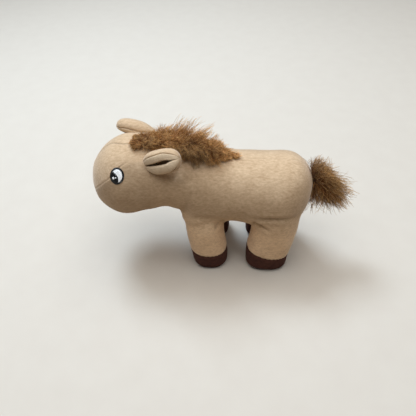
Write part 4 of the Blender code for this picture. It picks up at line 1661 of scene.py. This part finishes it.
@dataclass
class Pile:
    """Grows strands of long pile from given roots and makes them a mesh.

    Real fibres are about 0.05 mm thick. Each strand stands for a few of them, so that it shows.
    """

    locks: Locks
    skin: Skin
    wave_count: int = 9
    wave_lengths_mm: tuple[float, float] = (4.5, 11.0)
    curl_turn: float = 5.5  # how far round its own way a strand curls, in radians
    sides: int = 3

    def __post_init__(self) -> None:
        """Starts the pile's own row of random numbers."""
        self.rng = np.random.default_rng(self.locks.seed)
        waves = np.random.default_rng(self.locks.seed + 1)
        count = self.wave_count
        lengths = waves.uniform(*self.wave_lengths_mm, size=(count, 1)) * MM
        self.waves = turned(waves.normal(size=(count, 3))) * FULL_TURN / lengths
        self.pulls = turned(waves.normal(size=(count, 3)))
        self.phases = waves.uniform(0, FULL_TURN, size=count)

    def wind(self, points: np.ndarray) -> np.ndarray:
        """A soft swirl that neighbouring strands share."""
        return np.sin(points @ self.waves.T + self.phases) @ self.pulls / 3

    def grow(self, roots: np.ndarray, ways: np.ndarray, lengths: np.ndarray) -> np.ndarray:
        """Grows each strand from its root.

        Args:
            roots: where each strand leaves the skin.
            ways: the direction that each starts in.
            lengths: how long each is.

        Returns:
            The points of each strand, as strands by points by three.
        """
        count, steps = len(roots), self.locks.points
        step_length = (lengths / (steps - 1))[:, None]
        own = self.rng.normal(size=(count, 3)) * self.locks.frizz
        turn = self.rng.uniform(0, FULL_TURN, size=(count, 1))
        place, way = roots.copy(), turned(ways)
        paths = [place]
        for step in range(1, steps):
            share = step / (steps - 1)
            side = turned(np.cross(way, [0.3, 0.5, 0.8]))
            angle = turn + self.curl_turn * share
            curl = side * np.cos(angle) + np.cross(way, side) * np.sin(angle)
            pull = self.wind(place) * self.locks.crimp + own * 0.5 + curl * self.locks.frizz
            pull[:, 2] -= self.locks.droop * share
            way = turned(way + pull * 0.5)
            place = place + way * step_length
            paths.append(place)
        return np.stack(paths, axis=1)

    def gather(self, paths: np.ndarray) -> np.ndarray:
        """Draws strands together into locks, more towards their tips.

        Args:
            paths: the strands.

        Returns:
            The gathered strands.
        """
        count = len(paths)
        guides = self.rng.choice(count, self.locks.lock_count, replace=False)
        roots = paths[:, 0]
        nearest = guides[((roots[:, None] - roots[guides][None]) ** 2).sum(-1).argmin(1)]
        share = np.linspace(0, 1, paths.shape[1])[None, :, None]
        offset = (roots - roots[nearest])[:, None]
        drawn = paths[nearest] + offset * (1 - 0.75 * share)
        pull = self.locks.lock_pull * self.rng.uniform(0.3, 1.0, size=(count, 1, 1)) * share**1.1
        return paths * (1 - pull) + drawn * pull

    def clear(self, paths: np.ndarray, start: float, end: float) -> np.ndarray:
        """Keeps strands outside the skin, by start at their roots and end at their tips."""
        gaps = np.broadcast_to(np.linspace(start, end, paths.shape[1]), paths.shape[:2])
        moved = self.skin.push_out(paths[:, 1:].reshape(-1, 3), gaps[:, 1:].reshape(-1))
        return np.concatenate([paths[:, :1], moved.reshape(len(paths), -1, 3)], axis=1)

    def mesh(self, paths: np.ndarray, dark: np.ndarray) -> bpy.types.Mesh:
        """Turns strands into thin tapered tubes with three sides.

        Args:
            paths: the strands.
            dark: each strand's own shade, from 0 to 1.

        Returns:
            The mesh, in the frame, with each point's share along its strand.
        """
        section = bpy.data.curves.new("strand_section", "CURVE")
        corners = section.splines.new("POLY")
        corners.points.add(self.sides - 1)
        for index, corner in enumerate(corners.points):
            turn = FULL_TURN * index / self.sides
            corner.co = (math.cos(turn), math.sin(turn), 0, 1)
        corners.use_cyclic_u = True
        outline = bpy.data.objects.new("strand_section", section)
        curve = bpy.data.curves.new("strands", "CURVE")
        curve.dimensions = "3D"
        curve.bevel_mode = "OBJECT"
        curve.bevel_object = outline
        count, steps = paths.shape[:2]
        places = np.concatenate([paths + np.array(SHIFT), np.ones((count, steps, 1))], axis=2)
        radii = np.linspace(self.locks.root_radius, self.locks.tip_radius, steps)
        for strand in places:
            spline = curve.splines.new("POLY")
            spline.points.add(steps - 1)
            spline.points.foreach_set("co", strand.ravel())
            spline.points.foreach_set("radius", radii)
        made = evaluated_mesh(curve)
        bpy.data.objects.remove(outline)
        bpy.data.curves.remove(section)
        along = np.tile(np.repeat(np.linspace(0, 1, steps), self.sides), count)
        for name, values in (("along", along), ("strand", np.repeat(dark, self.sides * steps))):
            attribute = made.attributes.new(name, "FLOAT", "POINT")
            attribute.data.foreach_set("value", values.astype(np.float32))
        return made


@dataclass(frozen=True)
class Coat:
    """How one coat of the mane grows: its lean outwards and back, and its lengths."""

    lean: float
    back: float
    lengthen: float
    longer: float = 0.0
    share: float = 1.0
    shortest: float = 0.62


@dataclass
class Mane:
    """The mane: a band of long pile from the forehead over the neck to the back."""

    skin: Skin
    front: float = -53.0 * MM
    rear: float = 12.0 * MM
    # place along the horse, then root half-width, length, near-side reach, far-side reach
    table: tuple[tuple[float, ...], ...] = (
        (-55, 1.4, 5.0, 7.5, 3.5),
        (-50, 4.2, 7.6, 12.5, 5.0),
        (-45, 5.0, 9.8, 14.8, 7.5),
        (-38, 5.2, 11.5, 11.5, 10.0),
        (-31, 5.2, 14.0, 10.5, 12.0),
        (-24, 5.4, 14.5, 16.0, 12.0),
        (-17, 5.6, 13.5, 19.0, 11.5),
        (-10, 5.6, 12.0, 19.5, 10.5),
        (-3, 5.4, 10.5, 17.0, 9.5),
        (4, 4.2, 8.5, 10.5, 8.0),
        (10, 2.0, 6.5, 4.5, 5.5),
        (16, 0.8, 5.0, 2.5, 3.0),
    )
    pile: Locks = Locks(5400, 7, 0.11 * MM, 0.045 * MM, 0.24, 0.40, 0.55, 380, 0.82, 11)
    undercoat: Locks = Locks(4600, 5, 0.17 * MM, 0.09 * MM, 0.6, 0.6, 0.9, 900, 0.5, 23)
    wisps: Locks = Locks(1300, 9, 0.12 * MM, 0.05 * MM, 0.10, 0.22, 0.0, 48, 0.96, 55)
    above: float = 0.12  # roots are dropped on the skin from this high
    root_depth_mm: float = 0.3
    ear_mm: tuple[float, float] = (-41.5, -27.0)  # beside the near ear the pile stands up
    neck_mm: tuple[float, float] = (-27.0, 5.0)  # down the neck it hangs over
    shade: tuple[float, float] = (0.62, 0.26)

    def at(self, x: np.ndarray, column: int) -> np.ndarray:
        """A column of the mane's table at places along the horse."""
        rows = np.array(self.table) * MM
        return np.interp(x, rows[:, 0], rows[:, column])

    def roots(self, rng: np.random.Generator, count: int, share: float) -> tuple[np.ndarray, ...]:
        """Places on the skin where strands start.

        Args:
            rng: the source of random numbers.
            count: how many strands.
            share: how much of the band's width they cover.

        Returns:
            The roots, the skin's normals there, and each one's side from -1 to 1.
        """
        x = self.front + (self.rear - self.front) * rng.uniform(0, 1, count)
        side = rng.uniform(-1, 1, count)
        y = side * self.at(x, 1) * share
        places, normals = [], []
        for spot in zip(x, y):
            place, normal, _, _ = self.skin.tree.ray_cast(Vector((*spot, self.above)), -UP)
            places.append(place - normal * self.root_depth_mm * MM)
            normals.append(normal)
        return np.array(places), np.array(normals), side

    def shape(self, paths: np.ndarray) -> np.ndarray:
        """Keeps strands within the mane's reach to each side."""
        x, y = paths[..., 0], paths[..., 1]
        reach = np.where(y < 0, self.at(x, 3), self.at(x, 4))
        paths[..., 1] = y / (1 + (y / reach) ** 4) ** 0.25
        return paths

    @staticmethod
    def near_side(x: np.ndarray, side: np.ndarray, stretch: tuple[float, float]) -> np.ndarray:
        """Which roots lie on the near side of a stretch of the mane, in millimetres."""
        return (side < 0) & (x > stretch[0] * MM) & (x < stretch[1] * MM)

    def ways(
        self,
        rng: np.random.Generator,
        x: np.ndarray,
        side: np.ndarray,
        normals: np.ndarray,
        coat: Coat,
    ) -> np.ndarray:
        """The direction that each strand starts in.

        Args:
            rng: the source of random numbers.
            x: each root's place along the horse.
            side: its side, from -1 to 1.
            normals: the skin's normals at the roots.
            coat: how the coat grows.

        Returns:
            The directions, one row each.
        """
        forward = 1 - step_mm(x, -52, -42)
        ways = normals + rng.normal(size=normals.shape) * 0.22
        by_ear, by_neck = (self.near_side(x, side, s) for s in (self.ear_mm, self.neck_mm))
        ways[:, 1] += side * coat.lean * np.where(by_ear, 0.55, np.where(by_neck, 1.5, 1))
        ways[:, 0] += coat.back - 0.75 * forward + 0.9 * step_mm(x, 0, 12)
        ways[:, 1] -= 0.7 * step_mm(x, -36, -44) * (side < 0)
        return ways

    def lengths(
        self, rng: np.random.Generator, x: np.ndarray, side: np.ndarray, coat: Coat
    ) -> np.ndarray:
        """How long each strand is.

        Args:
            rng: the source of random numbers.
            x: each root's place along the horse.
            side: its side, from -1 to 1.
            coat: how the coat grows.

        Returns:
            The lengths.
        """
        lengths = self.at(x, 2) * coat.lengthen
        tall = step_mm(x, -42, -30) * (1 - 0.75 * step_mm(x, -24, -12))
        lengths += coat.longer * tall
        by_neck = self.near_side(x, side, self.neck_mm)
        lengths *= rng.uniform(coat.shortest, 1.1, len(x)) * np.where(by_neck, 1.22, 1)
        lengths *= 1 - 0.75 * rng.uniform(0, 1, len(x)) * step_mm(x, -4, 7)
        fringe = step_mm(x, -36, -44)
        return lengths * (1 + fringe * (0.3 - 0.75 * smooth_step(side, -0.5, 0.3)))

    def shades(self, rng: np.random.Generator, x: np.ndarray, side: np.ndarray) -> np.ndarray:
        """Each strand's own shade: random, with painted shade on the near side of the neck's middle,
        darker by the forehead and a little lighter towards the rear.

        Args:
            rng: the source of random numbers.
            x: each root's place along the horse.
            side: its side, from -1 to 1.

        Returns:
            Shades from 0 to 1.
        """
        # painted shade on the near side of the neck's middle; the forehead is made darker and the rear
        # lighter
        painted_shade_and_tone = 0.75 * step_mm(x, -29, -22) * step_mm(x, 0, -10)
        painted_shade_and_tone = painted_shade_and_tone * smooth_step(-side, 0.35, 0.95) - 0.08 * step_mm(x, -14, 0)
        painted_shade_and_tone = painted_shade_and_tone + 0.22 * step_mm(x, -33, -42)
        return np.clip(rng.normal(*self.shade, len(x)) - painted_shade_and_tone, 0, 1)

    def coat(self, locks: Locks, coat: Coat) -> bpy.types.Mesh:
        """One coat of the mane.

        Args:
            locks: how its strands are drawn.
            coat: how it grows.

        Returns:
            The coat's mesh.
        """
        pile = Pile(locks, self.skin)
        roots, normals, side = self.roots(pile.rng, locks.strands, coat.share)
        x = roots[:, 0]
        ways = self.ways(pile.rng, x, side, normals, coat)
        lengths = self.lengths(pile.rng, x, side, coat)
        paths = self.shape(pile.gather(pile.grow(roots, ways, lengths)))
        paths = pile.clear(paths, 0.05 * MM, 1.2 * MM)
        return pile.mesh(paths, self.shades(pile.rng, x, side))

    def build(self, golden: bpy.types.Material) -> None:
        """Makes the undercoat, the long pile and the loose wisps.

        Args:
            golden: the pile's material.
        """
        start, end = (SkinPieces.plane(distance) + SHIFT for distance in NECK_BEND)
        tapes = ("mane_front_tape", "mane_back_tape")
        piles = ("mane_front_pile", "mane_back_pile")
        coats = (
            ("mane_undercoat", self.undercoat, Coat(1.1, 0.28, 0.62), tapes),
            ("mane_long_pile", self.pile, Coat(1.0, 0.28, 1.0), piles),
            ("mane_wisps", self.wisps, Coat(0.30, 0.85, 0.85, 14.5 * MM, 0.8, 0.28), ()),
        )
        for name, locks, coat, nodes in coats:
            piece = add_piece(name, self.coat(locks, coat), golden)
            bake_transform(piece)
            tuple(start)
            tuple(end)
            if nodes:
                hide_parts(*nodes)
            report(piece)


@dataclass(frozen=True)
class Lobe:
    """One part of the tail's tuft: the way it points, its spread, length and share."""

    rise: float
    swing: float
    spread: float
    length: float
    share: float


@dataclass
class Tail:
    """The tail: a loose tuft of the same pile, sewn on at the rump."""

    skin: Skin
    root_z: float = 68.7 * MM
    root_radius: float = 3.4 * MM
    lobes: tuple[Lobe, ...] = (
        Lobe(92, 2, 2, 17.0, 0.13),
        Lobe(46, -5, 7, 16.0, 0.12),
        Lobe(14, 4, 7, 19.5, 0.15),
        Lobe(12, 0, 1, 29.0, 0.004),
        Lobe(-29, -3, 3.5, 34.0, 0.32),
        Lobe(-48, 4, 2.0, 27.5, 0.04),
        Lobe(-77, 2, 3.0, 26.5, 0.15),
        Lobe(-28, 0, 20, 15.0, 0.09),
    )
    pile: Locks = Locks(3300, 9, 0.13 * MM, 0.07 * MM, 0.17, 0.22, 0.03, 110, 0.88, 41)
    behind: float = 0.11  # the root is found on the skin from this far back
    length_range: tuple[float, float, float] = (0.6, 0.98, 1.04)  # least, likeliest and most
    shade: tuple[float, float] = (0.27, 0.24)

    def build(self, golden: bpy.types.Material) -> None:
        """Makes the tuft.

        Args:
            golden: the pile's material.
        """
        pile = Pile(self.pile, self.skin)
        rng = pile.rng
        middle = self.skin.drop(Vector((self.behind, 0, self.root_z)), -BACK)
        roots, ways, lengths = [], [], []
        for lobe in self.lobes:
            count = int(self.pile.strands * lobe.share)
            rise = np.radians(rng.normal(lobe.rise, lobe.spread, count))
            swing = np.radians(rng.normal(lobe.swing, lobe.spread * 1.5, count))
            ways.append(
                np.stack([np.cos(rise) * np.cos(swing), np.sin(swing), np.sin(rise)], axis=1)
            )
            spot = rng.normal(size=(count, 3)) * self.root_radius * 0.42
            spot[:, 0] = 0
            roots.append(np.array(middle) + spot)
            lengths.append(lobe.length * MM * rng.triangular(*self.length_range, count))
        roots = np.concatenate(roots)
        roots = np.array([self.skin.tree.find_nearest(root)[0] for root in roots])
        paths = pile.grow(roots, np.concatenate(ways), np.concatenate(lengths))
        paths = pile.clear(pile.gather(paths), 0.05 * MM, 0.8 * MM)
        shade = np.clip(rng.normal(*self.shade, len(paths)), 0, 1)
        piece = add_piece("tail_long_pile", pile.mesh(paths, shade), golden)
        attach(piece, "tail")
        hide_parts("tail_tab", "tail_tuft")
        report(piece)


# Studio


@dataclass(frozen=True)
class Lamp:
    """A square soft lamp: its name, place, side, power in watts and linear colour."""

    name: str
    place: tuple[float, float, float]
    side: float
    power: float
    colour: tuple[float, float, float]

    def hang(self, aim: Vector) -> None:
        """Hangs the lamp, turned to a place."""
        light = bpy.data.lights.new(self.name, "AREA")
        light.color = self.colour
        light.size = self.side
        light.energy = self.power
        holder = new_object(self.name, light)
        holder.location = self.place
        way = aim - Vector(self.place)
        holder.rotation_euler = way.to_track_quat("-Z", "Y").to_euler()


@dataclass
class Studio:
    """A pale floor, soft lamps and the camera."""

    floor_half: float = 3.0
    floor_dark: str = "CFC6B9"
    floor_pale: str = "D4CCBF"
    floor_bounce: str = "A3917C"  # what the warm wooden floor gives back to the horse's underside
    grain_scale: float = 60.0
    world_colour: str = "EFF1F4"
    world_strength: float = 0.07
    lamp_aim: tuple[float, float, float] = (0.0, 0.0, 0.05)
    lamps: tuple[Lamp, ...] = (
        Lamp("sky_lamp", (-0.28, 0.34, 0.80), 0.28, 5.6, (0.66, 0.82, 1.0)),
        Lamp("ceiling_panel", (0.0, 0.0, 1.1), 1.4, 14.9, (0.99, 0.99, 1.0)),
    )
    camera_place: tuple[float, float, float] = (14.998, -214.476, 251.0)
    camera_turn: tuple[float, float, float] = (45.2757, 1.9451, 4.0)
    camera_sensor: float = 36.0
    camera_lens: float = 36.0
    camera_near: float = 0.01

    def build(self) -> None:
        """Makes the floor, the world, the lamps and the camera."""
        self.lay_floor()
        world = bpy.data.worlds.new("soft_room")
        bpy.context.scene.world = world
        world.use_nodes = True
        background = world.node_tree.nodes["Background"]
        background.inputs["Color"].default_value = linear(self.world_colour)
        background.inputs["Strength"].default_value = self.world_strength
        for lamp in self.lamps:
            lamp.hang(Vector(self.lamp_aim))
        camera = bpy.data.cameras.new("camera")
        camera.sensor_width = self.camera_sensor
        camera.lens = self.camera_lens
        camera.clip_start = self.camera_near
        holder = new_object("camera", camera)
        holder.location = Vector(self.camera_place) * MM + SHIFT
        holder.rotation_euler = [math.radians(turn) for turn in self.camera_turn]
        bpy.context.scene.camera = holder
        bpy.context.scene.view_settings.view_transform = "Standard"

    def lay_floor(self) -> None:
        """Makes the floor, which looks pale but throws a warm light on the horse's underside."""
        bm = bmesh.new()
        bmesh.ops.create_grid(bm, x_segments=1, y_segments=1, size=self.floor_half)
        gloss = {"Roughness": 0.9, "Specular IOR Level": 0.2}
        material, tree, shader = blank_material("pale_matt_floor", gloss)
        place = add_node(tree, "ShaderNodeTexCoord")
        grain = add_node(
            tree,
            "ShaderNodeTexNoise",
            {"Scale": self.grain_scale},
            {"Vector": place.outputs["Object"]},
        )
        tone = add_node(
            tree,
            "ShaderNodeMix",
            {"A": linear(self.floor_dark), "B": linear(self.floor_pale)},
            {"Factor": grain.outputs["Fac"]},
            data_type="RGBA",
        )
        path = add_node(tree, "ShaderNodeLightPath")
        mirrored = add_node(
            tree,
            "ShaderNodeMath",
            links={0: path.outputs["Is Glossy Ray"], 1: path.outputs["Is Transmission Ray"]},
            operation="MAXIMUM",
        )
        seen = add_node(
            tree,
            "ShaderNodeMath",
            links={0: path.outputs["Is Camera Ray"], 1: mirrored.outputs["Value"]},
            operation="MAXIMUM",
        )
        floor = add_node(
            tree,
            "ShaderNodeMix",
            {"A": linear(self.floor_bounce)},
            {"Factor": seen.outputs["Value"], "B": tone.outputs["Result"]},
            data_type="RGBA",
        )
        tree.links.new(floor.outputs["Result"], shader.inputs["Base Color"])
        add_piece("floor", mesh_of("floor", bm), material)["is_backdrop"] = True


def write_sizes() -> None:
    """Works out the CAD box and the visual model's box, without writing them."""
    boxes = {"cad": CAD_BOX, "visual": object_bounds()}
    {name: [list(corner) for corner in box] for name, box in boxes.items()}


def main() -> None:
    """Builds every piece of the horse and the studio round it."""
    logging.basicConfig(level=logging.INFO, format="%(name)s %(message)s")
    fleece, lining, brown, golden, black, white = (
        finish.make()
        for finish in (BEIGE_FLEECE, EAR_FLEECE, HOOF_FLEECE, GOLDEN_PILE, BLACK_SATIN, WHITE_SATIN)
    )
    skin = Skin(BodyForm(), all_legs())
    skin.build()
    SkinPieces(skin).build(fleece, brown)
    near_ear = Ear(
        Side.LEFT,
        skin,
        lift=math.radians(31),
        yaw=math.radians(4),
        root_x=-41.3 * MM,
        root_turn=math.radians(41.5),
        half_depth=6.2 * MM,
        slit_turns=(37.0, 15.0),
    )
    far_ear = Ear(Side.RIGHT, skin, lift=math.radians(168), seat=0.9 * MM)
    for ear in (near_ear, far_ear):
        ear.build(fleece, lining)
    for side in Side:
        Eye(side, skin).build(black, white)
    Mane(skin).build(golden)
    Tail(skin).build(golden)
    Studio().build()
    write_sizes()


if __name__ == "__main__":
    main()
